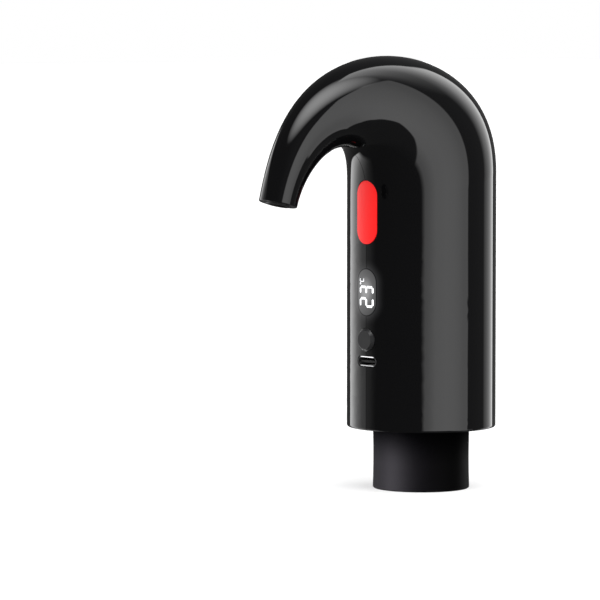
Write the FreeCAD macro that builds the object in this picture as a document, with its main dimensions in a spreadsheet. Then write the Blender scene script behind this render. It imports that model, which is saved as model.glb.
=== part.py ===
import FreeCAD, Part
import math
import os

import Sketcher
from FreeCAD import Placement, Rotation, Vector

doc = FreeCAD.newDocument("wine_dispenser")

# Driving dimensions, in millimetres and degrees.
# Heights called "..._height" are above the bottom edge of the housing.
SIZES = {
    # Housing: an upright round body that runs on into a swan neck
    "body_radius": 25.0,
    "body_bottom": 5.7,           # above the bottle rim, which is z = 0
    "wall": 2.0,
    "bottom_edge_radius": 0.7,
    "tip_edge_radius": 0.35,
    "back_straight": 87.3,        # height where the back starts to curve
    "front_straight": 74.3,       # height where the front starts to curve
    "back_pull": 37.5,            # how long the back keeps its upright direction
    "front_pull": 12.2,
    "crown_back_reach": 7.4,      # the two points that draw the outer curve up
    "crown_back_height": 134.1,
    "crown_front_reach": 55.6,
    "crown_front_height": 130.8,
    "throat_back_reach": 25.7,    # the two points that draw the curve under the spout
    "throat_back_height": 83.0,
    "throat_front_reach": 28.0,
    "throat_front_height": 110.5,
    "tip_reach": 63.7,
    "tip_height": 76.4,
    "tip_tilt": 14.5,
    "tip_radius": 6.35,
    "tip_outer_pull": 24.0,
    "tip_inner_pull": 17.6,
    "neck_width_back": 16.0,      # half-widths that draw the taper in
    "neck_width_front": 8.55,
    "rib_thickness": 1.6,
    "rib_notch_gap": 0.15,
    "seam_tab_length": 9.0,
    "seam_tab_reach": 2.2,
    "seam_tab_root": 4.0,
    "seam_tab_thickness": 1.0,
    "seam_tab_low": 34.0,
    "seam_tab_high": 57.0,
    # Controls on the front
    "pour_button_rise": 26.5,      # each control stands this far above the one below it
    "pour_button_length": 21.0,
    "pour_button_width": 9.5,
    "pour_button_travel": 0.6,
    "window_rise": 15.8,
    "window_length": 15.9,
    "window_width": 9.3,
    "mode_button_rise": 7.2,
    "mode_button_radius": 3.85,
    "mode_face_radius": 3.1,
    "mode_button_proud": 0.9,
    "pour_button_proud": 0.15,
    "mode_button_travel": 0.4,
    "button_gap": 0.12,
    "button_flange": 0.9,
    "button_flange_thickness": 1.0,
    "socket_height": 23.1,
    "socket_width": 8.94,
    "socket_thickness": 3.26,
    "socket_wall": 0.3,
    "socket_gap": 0.2,
    "socket_inset": 0.45,
    "tongue_width": 6.7,
    "tongue_thickness": 0.7,
    "tongue_inset": 0.9,
    "socket_base": 2.0,
    # Board and switches
    "board_depth": 7.0,           # behind the inside of the front wall
    "board_thickness": 1.6,
    "board_width": 24.0,
    "board_bottom_height": 16.0,
    "board_top_height": 84.0,
    "board_screw_inset": 2.6,
    "switch_size": 6.0,
    "switch_depth": 3.5,
    "switch_stem_radius": 1.6,
    "switch_stem_depth": 1.6,
    "module_length": 19.0,
    "module_width": 12.0,
    "module_depth": 5.0,
    "module_rim": 1.0,
    "module_recess": 0.6,
    # Inner frame
    "frame_gap": 0.4,
    "shelf_thickness": 2.0,
    "lower_shelf_height": 20.0,
    "cell_seat_depth": 0.8,
    "standoff_length": 1.4,
    "plate_gap": 0.5,
    "plate_thickness": 2.0,
    "plate_width": 26.0,
    "standoff_radius": 2.3,
    "post_inset": 4.6,
    "post_radius": 2.2,
    # Battery cell and pump
    "cell_radius": 7.0,
    "cell_length": 49.0,
    "cell_edge": 0.6,
    "cell_nub_radius": 2.6,
    "cell_nub_height": 0.9,
    "cell_gap": 1.5,
    "cell_bearing": 152.0,        # round the axis from the right, towards the back
    "pump_gap": 1.2,
    "pump_bearing": 32.3,
    "pump_radius": 9.0,
    "valve_cap_thickness": 4.0,
    "diaphragm_thickness": 1.2,
    "pump_housing_length": 11.0,
    "pump_wall": 1.5,
    "pump_lid_thickness": 1.2,
    "pump_lid_hole": 3.2,
    "pump_outlet_length": 4.0,
    "diaphragm_boss_radius": 3.4,
    "diaphragm_boss_height": 3.2,
    "motor_radius": 8.6,
    "motor_length": 32.0,
    "motor_edge": 0.6,
    "motor_cap_length": 3.0,
    "shaft_radius": 1.0,
    "shaft_reach": 6.4,           # below the motor
    "crank_radius": 4.2,
    "crank_thickness": 2.6,
    "crank_floor": 0.6,
    "crank_throw": 1.0,
    "crank_pin_radius": 0.9,
    "crank_pin_length": 2.6,
    "running_gap": 0.05,
    # Tubes
    "wine_tube_radius": 3.5,
    "wine_tube_bore": 2.5,
    "wine_tube_rise": 8.0,        # straight run above the stopper
    "wine_tube_shift": 14.0,      # height in which it moves forward
    "wine_tube_upper": 28.2,      # its upright run ends this far above the front's straight
    "wine_tube_share": 0.66,      # how far from the neck's inner to its outer curve it lies
    "wine_tube_end": 9.0,         # straight run into the nozzle
    "air_tube_radius": 1.75,
    "air_tube_bore": 1.0,
    "air_port_circle": 6.4,
    "air_port_length": 3.5,
    "air_bend_margin": 5.0,
    "nozzle_radius": 4.1,
    "nozzle_proud": 0.4,
    "nozzle_seat": 6.0,
    "nozzle_spigot": 6.0,
    "nozzle_mouth": 3.1,
    "nozzle_bore": 1.8,
    "nozzle_edge": 0.3,
    "sensor_wall": 1.2,
    "sensor_length": 8.0,
    "sensor_height": 52.0,
    # Stopper
    "base_thickness": 2.0,
    "base_lip_height": 3.6,
    "base_lip_width": 1.5,
    "base_gap": 0.25,
    "core_neck_radius": 10.2,
    "core_flange_radius": 13.6,
    "core_flange_thickness": 2.0,
    "core_disc_radius": 12.8,
    "core_disc_bottom": 2.2,
    "core_disc_thickness": 1.5,
    "core_stem_radius": 6.2,
    "core_stem_bore": 5.2,
    "core_stem_depth": 11.6,      # below the bottle rim
    "core_lip_radius": 6.9,
    "core_lip_thickness": 0.9,
    "core_recess_depth": 0.5,
    "core_bore": 1.8,
    "core_passage_radius": 0.6,
    "core_passage_circle": 4.2,
    "spigot_length": 5.0,
    "intake_spigot_radius": 3.0,
    "intake_barb": 0.45,
    "intake_barb_pitch": 2.4,
    "intake_depth": 13.6,
    "fit_gap": 0.05,
    "ring_section": 0.75,
    "ring_radius": 12.0,
    "ring_squeeze": 0.05,
    "skirt_radius": 16.2,
    "skirt_waist": 16.05,
    "skirt_wall": 1.25,
    "skirt_depth": 15.0,
    "skirt_lead": 0.8,
    "skirt_edge": 0.3,
    "gasket_thickness": 1.0,
    "plug_radius": 7.6,
    "plug_fin_radius": 9.4,
    "plug_fin_land": 0.7,
    "plug_fin_root": 1.7,
    "plug_fin_first": 2.0,
    "plug_fin_pitch": 3.1,
    # Release valve
    "release_radius": 4.7,
    "release_length": 15.7,
    "release_side": -8.0,
    "release_back": 3.8,
    "release_floor": 1.6,
    "plunger_radius": 2.4,
    "plunger_length": 9.5,
    "plunger_travel": 1.0,
    "release_nipple_radius": 1.1,
    "release_nipple_length": 1.8,
    "release_port": 0.5,
    # Screws
    "screw_radius": 1.0,
    "screw_head_radius": 1.9,
    "screw_head_height": 1.2,
    "screw_sink": 0.2,
    "base_screw_length": 9.0,
    "board_screw_length": 4.6,
}

sheet = doc.addObject("Spreadsheet::Sheet", "dim")
for row, (alias, value) in enumerate(SIZES.items(), start=1):
    sheet.set(f"A{row}", alias.replace("_", " "))
    sheet.set(f"B{row}", str(value))
    sheet.setAlias(f"B{row}", alias)
doc.recompute()


def size(alias):
    return float(getattr(sheet, alias))


def number(formula):
    """Value of a formula that is written with the sheet's names."""
    value = sheet.evalExpression(str(formula))
    return float(getattr(value, "Value", value))


# Shared helpers

parts = []


def new_body(label):
    body = doc.addObject("PartDesign::Body", label + "_body")
    body.Label = label
    parts.append(body)
    return body


def origin_item(body, role):
    return next(item for item in body.Origin.OriginFeatures if item.Role == role)


def new_sketch(body, name, role="XZ_Plane", lift=None):
    """Sketch on one of the body's own planes; lift is a formula along its normal."""
    sketch = body.newObject("Sketcher::SketchObject", f"{body.Label}_{name}")
    sketch.AttachmentSupport = [(origin_item(body, role), "")]
    sketch.MapMode = "FlatFace"
    if lift is not None:
        sketch.setExpression("AttachmentOffset.Base.z", str(lift))
    return sketch


def bind(sketch, kind, target, formula):
    """Add one distance or radius and tie it to the sheet."""
    index = sketch.addConstraint(Sketcher.Constraint(kind, *target, number(formula)))
    sketch.setExpression(f"Constraints[{index}]", str(formula))


def fix_point(sketch, geometry, point, x, y):
    bind(sketch, "DistanceX", (-1, 1, geometry, point), x)
    bind(sketch, "DistanceY", (-1, 1, geometry, point), y)


def outline(sketch, corners):
    """Closed outline of straight lines through corners given as formulas."""
    places = [Vector(number(x), number(y), 0) for x, y in corners]
    first = sketch.GeometryCount
    total = len(places)
    for i in range(total):
        sketch.addGeometry(Part.LineSegment(places[i], places[(i + 1) % total]), False)
    for i in range(total):
        joint = (first + i, 2, first + (i + 1) % total, 1)
        sketch.addConstraint(Sketcher.Constraint("Coincident", *joint))
    for i, (x, y) in enumerate(corners):
        fix_point(sketch, first + i, 1, x, y)


def ring(sketch, radius, x="0", y="0"):
    """Circle with a bound radius and centre."""
    middle = Vector(number(x), number(y), 0)
    index = sketch.addGeometry(Part.Circle(middle, Vector(0, 0, 1), number(radius)), False)
    bind(sketch, "Radius", (index,), radius)
    fix_point(sketch, index, 3, x, y)


def rectangle(sketch, left, right, low, high):
    outline(sketch, [(left, low), (right, low), (right, high), (left, high)])


def pill(sketch, length, width, middle, upright=True, grow="0"):
    """Slot with round ends, centred on the body's front line at a bound height."""
    radius = f"({width}) / 2 + ({grow})"
    half = f"(({length}) - ({width})) / 2"
    r = number(radius)
    c = number(half)
    z = number(middle)
    if upright:
        first_end = Vector(0, z + c, 0)
        second_end = Vector(0, z - c, 0)
        start = 0.0
    else:
        first_end = Vector(-c, z, 0)
        second_end = Vector(c, z, 0)
        start = math.pi / 2
    arc = []
    for end, turn in ((first_end, start), (second_end, start + math.pi)):
        circle = Part.Circle(end, Vector(0, 0, 1), r)
        arc.append(sketch.addGeometry(Part.ArcOfCircle(circle, turn, turn + math.pi), False))
    ends = [sketch.getPoint(arc[0], 2), sketch.getPoint(arc[1], 1)]
    left = sketch.addGeometry(Part.LineSegment(*ends), False)
    ends = [sketch.getPoint(arc[1], 2), sketch.getPoint(arc[0], 1)]
    right = sketch.addGeometry(Part.LineSegment(*ends), False)
    for joint in ((arc[0], 2, left, 1), (left, 2, arc[1], 1),
                  (arc[1], 2, right, 1), (right, 2, arc[0], 1)):
        sketch.addConstraint(Sketcher.Constraint("Tangent", *joint))
    bind(sketch, "Radius", (arc[0],), radius)
    if upright:
        fix_point(sketch, arc[0], 3, "0", f"({middle}) + {half}")
        fix_point(sketch, arc[1], 3, "0", f"({middle}) - {half}")
    else:
        fix_point(sketch, arc[0], 3, f"-({half})", middle)
        fix_point(sketch, arc[1], 3, half, middle)


def pad(body, sketch, length, reverse=False, middle=False):
    feature = body.newObject("PartDesign::Pad", sketch.Name + "_pad")
    feature.Profile = sketch
    feature.setExpression("Length", str(length))
    feature.Reversed = reverse
    feature.Midplane = middle
    sketch.Visibility = False
    return feature


def pocket(body, sketch, length, reverse=False, middle=False):
    """Cut that has to take material away."""
    doc.recompute()
    before = body.Shape.Volume
    feature = body.newObject("PartDesign::Pocket", sketch.Name + "_pocket")
    feature.Profile = sketch
    feature.setExpression("Length", str(length))
    feature.Reversed = reverse
    feature.Midplane = middle
    doc.recompute()
    if body.Shape.Volume >= before:
        raise ValueError(f"{sketch.Name} cuts nothing")
    return feature


def turn(body, sketch, cut=False, axis="V_Axis"):
    kind = "Groove" if cut else "Revolution"
    feature = body.newObject("PartDesign::" + kind, sketch.Name + "_turn")
    feature.Profile = sketch
    feature.ReferenceAxis = (sketch, [axis])
    feature.Angle = 360.0
    return feature


def place(body, x="0", y="0", z="0", turned=None):
    """Seat a body; the sheet drives its place."""
    if turned is not None:
        body.Placement = Placement(Vector(0, 0, 0), turned)
    for letter, formula in (("x", x), ("y", y), ("z", z)):
        body.setExpression("Placement.Base." + letter, str(formula))
    return body


def turned_body(label, corners, x="0", y="0", z="0", turned=None):
    """Piece turned about its own upright axis."""
    body = new_body(label)
    sketch = new_sketch(body, "profile")
    outline(sketch, corners)
    turn(body, sketch)
    return place(body, x, y, z, turned)


def around(body, feature, count):
    """Repeat a feature round the upright axis."""
    pattern = body.newObject("PartDesign::PolarPattern", feature.Name + "_round")
    pattern.Originals = [feature]
    pattern.Axis = (origin_item(body, "Z_Axis"), [""])
    pattern.Angle = 360.0
    pattern.Occurrences = count
    body.Tip = pattern
    return pattern


# Housing: an upright round body whose skin runs on, without a step, through the swan neck.
# Each row of the skin's net is one oval, given by its front point, its back point and its
# half-width. "Reach" is forward of the body's axis (towards -Y), height is above its bottom edge.

ROUND = ((0, -1), (1, -1), (1, 0), (1, 1), (0, 1), (-1, 1), (-1, 0), (-1, -1), (0, -1))
QUARTERS = 4


def to_frame(flat, side=0.0):
    """Point in reach and height, set sideways, in the body's own axes."""
    return Vector(side, -flat.x, flat.y)


def along_tip():
    """Direction in which the wine leaves, in reach and height."""
    tilt = math.radians(size("tip_tilt"))
    return Vector(math.sin(tilt), -math.cos(tilt), 0)


def tip_point(distance, across=0.0):
    """Point a distance back inside the spout, and across the tip towards the front."""
    along = along_tip()
    outward = Vector(-along.y, along.x, 0)
    return Vector(size("tip_reach"), size("tip_height"), 0) - along * distance + outward * across


def back_line():
    """Points that draw the outer curve, from the top of the straight back to the tip."""
    radius = size("body_radius")
    top = size("back_straight")
    return [
        Vector(-radius, top, 0),
        Vector(-radius, top + size("back_pull"), 0),
        Vector(size("crown_back_reach"), size("crown_back_height"), 0),
        Vector(size("crown_front_reach"), size("crown_front_height"), 0),
        tip_point(size("tip_outer_pull"), size("tip_radius")),
        tip_point(0, size("tip_radius")),
    ]


def front_line():
    """Points that draw the inner curve, from the top of the straight front to the tip."""
    radius = size("body_radius")
    top = size("front_straight")
    return [
        Vector(radius, top, 0),
        Vector(radius, top + size("front_pull"), 0),
        Vector(size("throat_back_reach"), size("throat_back_height"), 0),
        Vector(size("throat_front_reach"), size("throat_front_height"), 0),
        tip_point(size("tip_inner_pull"), -size("tip_radius")),
        tip_point(0, -size("tip_radius")),
    ]


def neck_widths():
    radius = size("body_radius")
    tip = size("tip_radius")
    return [radius, radius, size("neck_width_back"), size("neck_width_front"), tip, tip]


def blend(points, t):
    """Point at t on the smooth curve that a row of points draws."""
    while len(points) > 1:
        points = [a * (1 - t) + b * t for a, b in zip(points, points[1:])]
    return points[0]


def moved_inward(points, wall, hand):
    """Net of the same curve set inward by the wall; both ends keep their direction."""
    legs = [b - a for a, b in zip(points, points[1:])]
    last = len(points) - 1
    moved = []
    for i, point in enumerate(points):
        if i <= 1:
            run = Vector(legs[0])
        elif i >= last - 1:
            run = Vector(legs[-1])
        else:
            run = blend(legs, i / last)
        run.normalize()
        moved.append(point + Vector(run.y, -run.x, 0) * wall * hand)
    return moved


def neck_rows(wall=0.0):
    """Rows of the neck's net: front point, back point, half-width."""
    fronts = front_line()
    backs = back_line()
    if wall:
        fronts = moved_inward(fronts, wall, -1)
        backs = moved_inward(backs, wall, 1)
    return [(f, b, w - wall) for f, b, w in zip(fronts, backs, neck_widths())]


def skin(rows):
    """Smooth surface through a net of ovals."""
    corner = math.sqrt(0.5)
    poles = []
    for front, back, width in rows:
        middle = (front + back) * 0.5
        chord = (back - front) * 0.5
        poles.append([to_frame(middle + chord * c, s * width) for c, s in ROUND])
    weights = [[corner if c and s else 1.0 for c, s in ROUND] for row in rows]
    degree = len(rows) - 1
    surface = Part.BSplineSurface()
    surface.buildFromPolesMultsKnots(
        poles, [degree + 1] * 2, [3] + [2] * (QUARTERS - 1) + [3], [0.0, 1.0],
        [float(i) for i in range(QUARTERS + 1)], False, False, degree, 2, weights)
    return surface


def quarters(surface):
    """The same skin as four faces, each a quarter of the way round."""
    faces = []
    for i in range(QUARTERS):
        quarter = surface.copy()
        quarter.segment(0, 1, i, i + 1)
        faces.append(quarter.toShape())
    return faces


def skin_solid(bands):
    """Solid inside a run of skins, with flat ends."""
    skins = [skin(rows) for rows in bands]
    faces = [face for surface in skins for face in quarters(surface)]
    for rim in (skins[0].uIso(0.0), skins[-1].uIso(1.0)):
        faces.append(Part.Face(Part.Wire(rim.toShape())))
    shell = Part.makeShell(faces)
    shell.sewShape()
    if Part.makeSolid(shell).Volume < 0:
        shell.reverse()
    return Part.makeSolid(shell)


def housing_solid(wall=0.0):
    """Body and neck as one solid, set in by the wall; a cut runs on past both ends."""
    radius = size("body_radius") - wall
    neck = neck_rows(wall)
    foot = (Vector(radius, -wall, 0), Vector(-radius, -wall, 0), radius)
    bands = [[foot, neck[0]], neck]
    if wall:
        front, back, width = neck[-1]
        past = along_tip() * wall
        bands.append([neck[-1], (front + past, back + past, width)])
    return skin_solid(bands)


def oval_at(t, wall=0.0):
    """Oval of the neck at t: its placement, long radius and half-width."""
    rows = neck_rows(wall)
    while len(rows) > 1:
        rows = [tuple(a * (1 - t) + b * t for a, b in zip(low, high))
                for low, high in zip(rows, rows[1:])]
    front, back, width = rows[0]
    chord = (back - front) * 0.5
    lean = math.degrees(math.atan2(chord.y, -chord.x))
    spot = Placement(to_frame((front + back) * 0.5), Rotation(Vector(1, 0, 0), lean))
    return spot, chord.Length, width


# Heights and distances that several pieces share, as formulas

FLOOR = "dim.base_thickness"
FLANGE_TOP = "(dim.base_thickness + dim.core_flange_thickness)"
SHELF_TOP = "(dim.lower_shelf_height + dim.shelf_thickness)"
CELL_FOOT = f"({SHELF_TOP} - dim.cell_seat_depth)"
DIAPHRAGM_FOOT = f"({SHELF_TOP} + dim.valve_cap_thickness)"
PUMP_FOOT = f"({DIAPHRAGM_FOOT} + dim.diaphragm_thickness)"
MOTOR_FOOT = f"({PUMP_FOOT} + dim.pump_housing_length)"
CELL_TOP = f"({CELL_FOOT} + dim.cell_length)"
MOTOR_TOP = f"({MOTOR_FOOT} + dim.motor_length)"
UPPER_SHELF = f"(max({CELL_TOP}; {MOTOR_TOP}) + dim.base_gap)"
MODE_HEIGHT = "(dim.socket_height + dim.mode_button_rise)"
WINDOW_HEIGHT = f"({MODE_HEIGHT} + dim.window_rise)"
POUR_HEIGHT = f"({WINDOW_HEIGHT} + dim.pour_button_rise)"
INSIDE = "(dim.body_radius - dim.wall)"
BOARD_FRONT = f"({INSIDE} - dim.board_depth)"
SWITCH_FACE = f"({BOARD_FRONT} + dim.switch_depth)"
BOARD_BACK = f"({BOARD_FRONT} - dim.board_thickness)"
PLATE_FRONT = f"({BOARD_BACK} - dim.standoff_length)"
PLATE_BACK = f"({PLATE_FRONT} - dim.plate_thickness)"
TUBE_FORWARD = f"({PLATE_BACK} - dim.plate_gap - dim.wine_tube_radius)"
FRAME_RADIUS = f"({INSIDE} - dim.frame_gap)"
POST_CIRCLE = f"({INSIDE} - dim.post_inset)"
CELL_CIRCLE = f"({INSIDE} - dim.cell_radius - dim.cell_gap)"
CELL_SIDE = f"({CELL_CIRCLE} * cos(dim.cell_bearing))"
CELL_BACK = f"({CELL_CIRCLE} * sin(dim.cell_bearing))"
PUMP_CIRCLE = f"({INSIDE} - dim.pump_radius - dim.pump_gap)"
PUMP_SIDE = f"({PUMP_CIRCLE} * cos(dim.pump_bearing))"
PUMP_BACK = f"({PUMP_CIRCLE} * sin(dim.pump_bearing))"
TO_FRONT = Rotation(Vector(1, 0, 0), 90)   # turns a piece's own axis to face forward


def flange_seat(half_width):
    """How far forward a flat flange of this half-width can lie behind the curved wall."""
    return f"(sqrt({INSIDE} ^ 2 - ({half_width} + dim.button_flange) ^ 2) - dim.button_gap)"


# Route of the wine tube in the same reach and height, from the stopper to the nozzle

NECK_STEPS = (0.40, 0.56, 0.75)   # where the tube's corners stand along the neck


def neck_between(t, share):
    """Point of the neck at t, a share of the way from its inner to its outer curve."""
    return blend(front_line(), t) * (1 - share) + blend(back_line(), t) * share


def wine_route():
    start = number(FLANGE_TOP) + 0.2
    forward = number(TUBE_FORWARD)
    turn_end = start + size("wine_tube_rise") + size("wine_tube_shift")
    last_run = size("nozzle_seat") + size("wine_tube_end")
    points = [
        Vector(0, start, 0),
        Vector(0, start + size("wine_tube_rise"), 0),
        Vector(forward, turn_end, 0),
        Vector(forward, size("front_straight") + size("wine_tube_upper"), 0),
        *[neck_between(t, size("wine_tube_share")) for t in NECK_STEPS],
        tip_point(last_run),
        tip_point(size("nozzle_seat") + 0.2),
    ]
    return [to_frame(point) for point in points]


def bent_wire(points):
    """Straight runs joined by tangent arcs as large as their runs allow."""
    edges = []
    radii = []
    last = points[0]
    for before, corner, after in zip(points, points[1:], points[2:]):
        run_in = corner - before
        run_out = after - corner
        reach = 0.45 * min(run_in.Length, run_out.Length)
        half_turn = run_in.getAngle(run_out) / 2
        start = corner - Vector(run_in).normalize() * reach
        end = corner + Vector(run_out).normalize() * reach
        radius = reach / math.tan(half_turn)
        inward = ((start + end) * 0.5 - corner).normalize()
        middle = corner + inward * (radius / math.cos(half_turn) - radius)
        edges.append(Part.LineSegment(last, start).toShape())
        edges.append(Part.Arc(start, middle, end).toShape())
        radii.append(round(radius, 2))
        last = end
    edges.append(Part.LineSegment(last, points[-1]).toShape())
    return Part.Wire(edges), radii


def swept(wire, radius):
    """Round rod along a wire."""
    first = wire.Edges[0]
    spot = first.valueAt(first.FirstParameter)
    along = first.tangentAt(first.FirstParameter)
    rim = Part.Wire(Part.Circle(spot, along, radius).toShape())
    return wire.makePipeShell([rim], True, False)


def tube(label, wire, outer, bore, z):
    """Tube swept along a wire; its volume has to match section times length."""
    shape = swept(wire, outer).cut(swept(wire, bore))
    expected = math.pi * (outer ** 2 - bore ** 2) * wire.Length
    if abs(shape.Volume - expected) > 0.01 * expected:
        raise ValueError(f"{label} has the wrong volume")
    feature = doc.addObject("Part::Feature", label + "_tube")
    feature.Label = label
    feature.Shape = shape
    feature.Placement = Placement(Vector(0, 0, z), Rotation())
    parts.append(feature)
    return feature


wine_wire, wine_radii = bent_wire(wine_route())


# Housing halves

RIB_STEPS = (0.36, 0.72)       # where the ribs stand along the neck, from its start to the tip


def cut_front(body, name, draw):
    """Cut an outline through the front wall of the housing."""
    sketch = new_sketch(body, name)
    draw(sketch)
    return pocket(body, sketch, "dim.body_radius + 5", reverse=True)


def neck_sketch(body, name, spot):
    sketch = body.newObject("Sketcher::SketchObject", f"{body.Label}_{name}")
    sketch.AttachmentSupport = [(origin_item(body, "XY_Plane"), "")]
    sketch.MapMode = "FlatFace"
    sketch.AttachmentOffset = spot
    return sketch


def neck_rib(t):
    """Cross rib inside the neck, notched where it holds the wine tube."""
    spot, long_radius, width = oval_at(t, size("wall") / 2)
    thick = size("rib_thickness")
    oval = Part.Ellipse(Vector(0, long_radius, 0), Vector(width, 0, 0), Vector(0, 0, 0))
    slice_low = Vector(0, 0, -thick / 2)
    plate = Part.Face(Part.Wire(oval.toShape())).extrude(Vector(0, 0, thick))
    plate.translate(slice_low)
    plate.Placement = spot.multiply(plate.Placement)
    return plate.cut(swept(wine_wire, size("wine_tube_radius") + size("rib_notch_gap")))


def seam_tab(body, name, low):
    """Tab on the back seam that keeps the two halves in line."""
    inner = f"({INSIDE} - dim.base_gap)"
    sketch = new_sketch(body, name, "XY_Plane", lift=low)
    outline(sketch, [
        ("-dim.seam_tab_root", f"{inner} - dim.seam_tab_thickness"),
        ("dim.seam_tab_reach", f"{inner} - dim.seam_tab_thickness"),
        ("dim.seam_tab_reach", inner),
        ("-dim.base_gap", inner),
        ("-dim.base_gap", f"{INSIDE} + dim.wall / 4"),
        ("-dim.seam_tab_root", f"{INSIDE} + dim.wall / 4"),
    ])
    pad(body, sketch, "dim.seam_tab_length")


def round_ends(solid):
    """Round the outer edges at the foot of the body and at the tip."""
    for radius, rim, middle in (
            (size("bottom_edge_radius"), size("body_radius"), Vector(0, 0, 0)),
            (size("tip_edge_radius"), size("tip_radius"), to_frame(tip_point(0)))):
        edges = [edge for edge in solid.Edges
                 if all(abs(vertex.Point.distanceToPoint(middle) - rim) < 0.01
                        for vertex in edge.Vertexes)
                 and abs(edge.Curve.value(edge.FirstParameter * 0.5 + edge.LastParameter * 0.5)
                         .distanceToPoint(middle) - rim) < 0.01]
        solid = solid.makeFillet(radius, edges)
    return solid


def housing_shell():
    """The whole housing: an exact skin, less the same skin set in by the wall."""
    outside = round_ends(housing_solid())
    inside = housing_solid(size("wall"))
    for t in RIB_STEPS:
        inside = inside.cut(neck_rib(t))
    return outside.cut(inside)


def housing_half(label, side, whole):
    """The housing's half on one side of the seam, with its ribs and cut-outs."""
    reach = whole.BoundBox.DiagonalLength
    low = Vector(min(side, 0) * reach, -reach, -reach)
    blank = doc.addObject("Part::Feature", label + "_blank")
    blank.Shape = whole.common(Part.makeBox(reach, 2 * reach, 2 * reach, low)).Solids[0]
    body = new_body(label)
    body.BaseFeature = blank
    doc.recompute()
    if side < 0:
        for i, low in enumerate(("dim.seam_tab_low", "dim.seam_tab_high"), start=1):
            seam_tab(body, f"tab_{i}", low)
    cut_front(body, "pour_hole", lambda sketch: pill(
        sketch, "dim.pour_button_length", "dim.pour_button_width", POUR_HEIGHT,
        grow="dim.button_gap"))
    cut_front(body, "window_hole", lambda sketch: pill(
        sketch, "dim.window_length", "dim.window_width", WINDOW_HEIGHT,
        grow="dim.fit_gap"))
    cut_front(body, "mode_hole", lambda sketch: ring(
        sketch, "dim.mode_button_radius + dim.button_gap", "0", MODE_HEIGHT))
    cut_front(body, "socket_hole", lambda sketch: pill(
        sketch, "dim.socket_width", "dim.socket_thickness", "dim.socket_height",
        upright=False, grow="dim.socket_gap"))
    return place(body, z="dim.body_bottom")


housing = housing_shell()
housing_half("left_housing", -1, housing)
housing_half("right_housing", 1, housing)


# Controls

def front_plug(label, length, width, height, proud):
    """Pill that fills a hole in the front wall, held behind it by a flange."""
    seat = flange_seat(f"{width} / 2")
    body = new_body(label)
    flange = new_sketch(body, "flange", lift=f"{seat} - dim.button_flange_thickness")
    pill(flange, length, width, height, grow="dim.button_flange")
    pad(body, flange, "dim.button_flange_thickness")
    face = new_sketch(body, "face", lift=seat)
    pill(face, length, width, height)
    pad(body, face, f"dim.body_radius + 2 - {seat}")
    doc.recompute()
    trim = new_sketch(body, "trim")
    rectangle(trim, f"dim.body_radius + {proud}", "dim.body_radius + 6",
              f"{height} - {length}", f"{height} + {length}")
    turn(body, trim, cut=True)
    return place(body, z="dim.body_bottom")


front_plug("pour_button", "dim.pour_button_length", "dim.pour_button_width",
           POUR_HEIGHT, "dim.pour_button_proud")
front_plug("display_window", "dim.window_length", "dim.window_width",
           WINDOW_HEIGHT, "0")


def mode_button():
    seat = flange_seat("dim.mode_button_radius")
    rim = "dim.mode_button_radius"
    top = "dim.body_radius + dim.mode_button_proud"
    turned_body("mode_button", [
        ("0", f"{seat} - dim.button_flange_thickness"),
        (f"{rim} + dim.button_flange", f"{seat} - dim.button_flange_thickness"),
        (f"{rim} + dim.button_flange", seat),
        (rim, seat),
        (rim, f"{top} - (dim.mode_button_radius - dim.mode_face_radius)"),
        ("dim.mode_face_radius", top),
        ("0", top),
    ], z=f"dim.body_bottom + {MODE_HEIGHT}", turned=TO_FRONT)


def switch(label, height, travel):
    """Square push switch on the board, with a bore for its stem."""
    body = new_body(label)
    case = new_sketch(body, "case", lift=BOARD_FRONT)
    half = "dim.switch_size / 2"
    rectangle(case, f"-{half}", half, f"{height} - {half}", f"{height} + {half}")
    pad(body, case, "dim.switch_depth")
    bore = new_sketch(body, "bore", lift=SWITCH_FACE)
    ring(bore, "dim.switch_stem_radius + dim.running_gap", "0", height)
    pocket(body, bore, f"dim.switch_stem_depth + {travel} + dim.running_gap * 2")
    return place(body, z="dim.body_bottom")


def switch_stem(label, height, seat):
    """Stem that a button pushes into its switch."""
    low = f"{SWITCH_FACE} - dim.switch_stem_depth"
    high = f"{seat} - dim.button_flange_thickness"
    turned_body(label, [
        ("0", low),
        ("dim.switch_stem_radius", low),
        ("dim.switch_stem_radius", high),
        ("0", high),
    ], z=f"dim.body_bottom + {height}", turned=TO_FRONT)


mode_button()
switch("pour_switch", POUR_HEIGHT, "dim.pour_button_travel")
switch_stem("pour_switch_stem", POUR_HEIGHT,
            flange_seat("dim.pour_button_width / 2"))
switch("mode_switch", MODE_HEIGHT, "dim.mode_button_travel")
switch_stem("mode_switch_stem", MODE_HEIGHT,
            flange_seat("dim.mode_button_radius"))


def display_module():
    body = new_body("display_module")
    case = new_sketch(body, "case", lift=BOARD_FRONT)
    wide = "dim.module_width / 2"
    tall = "dim.module_length / 2"
    rectangle(case, f"-{wide}", wide, f"{WINDOW_HEIGHT} - {tall}",
              f"{WINDOW_HEIGHT} + {tall}")
    pad(body, case, "dim.module_depth")
    face = new_sketch(body, "face", lift=f"{BOARD_FRONT} + dim.module_depth")
    rectangle(face, f"-({wide} - dim.module_rim)", f"{wide} - dim.module_rim",
              f"{WINDOW_HEIGHT} - {tall} + dim.module_rim",
              f"{WINDOW_HEIGHT} + {tall} - dim.module_rim")
    pocket(body, face, "dim.module_recess")
    place(body, z="dim.body_bottom")


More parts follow.
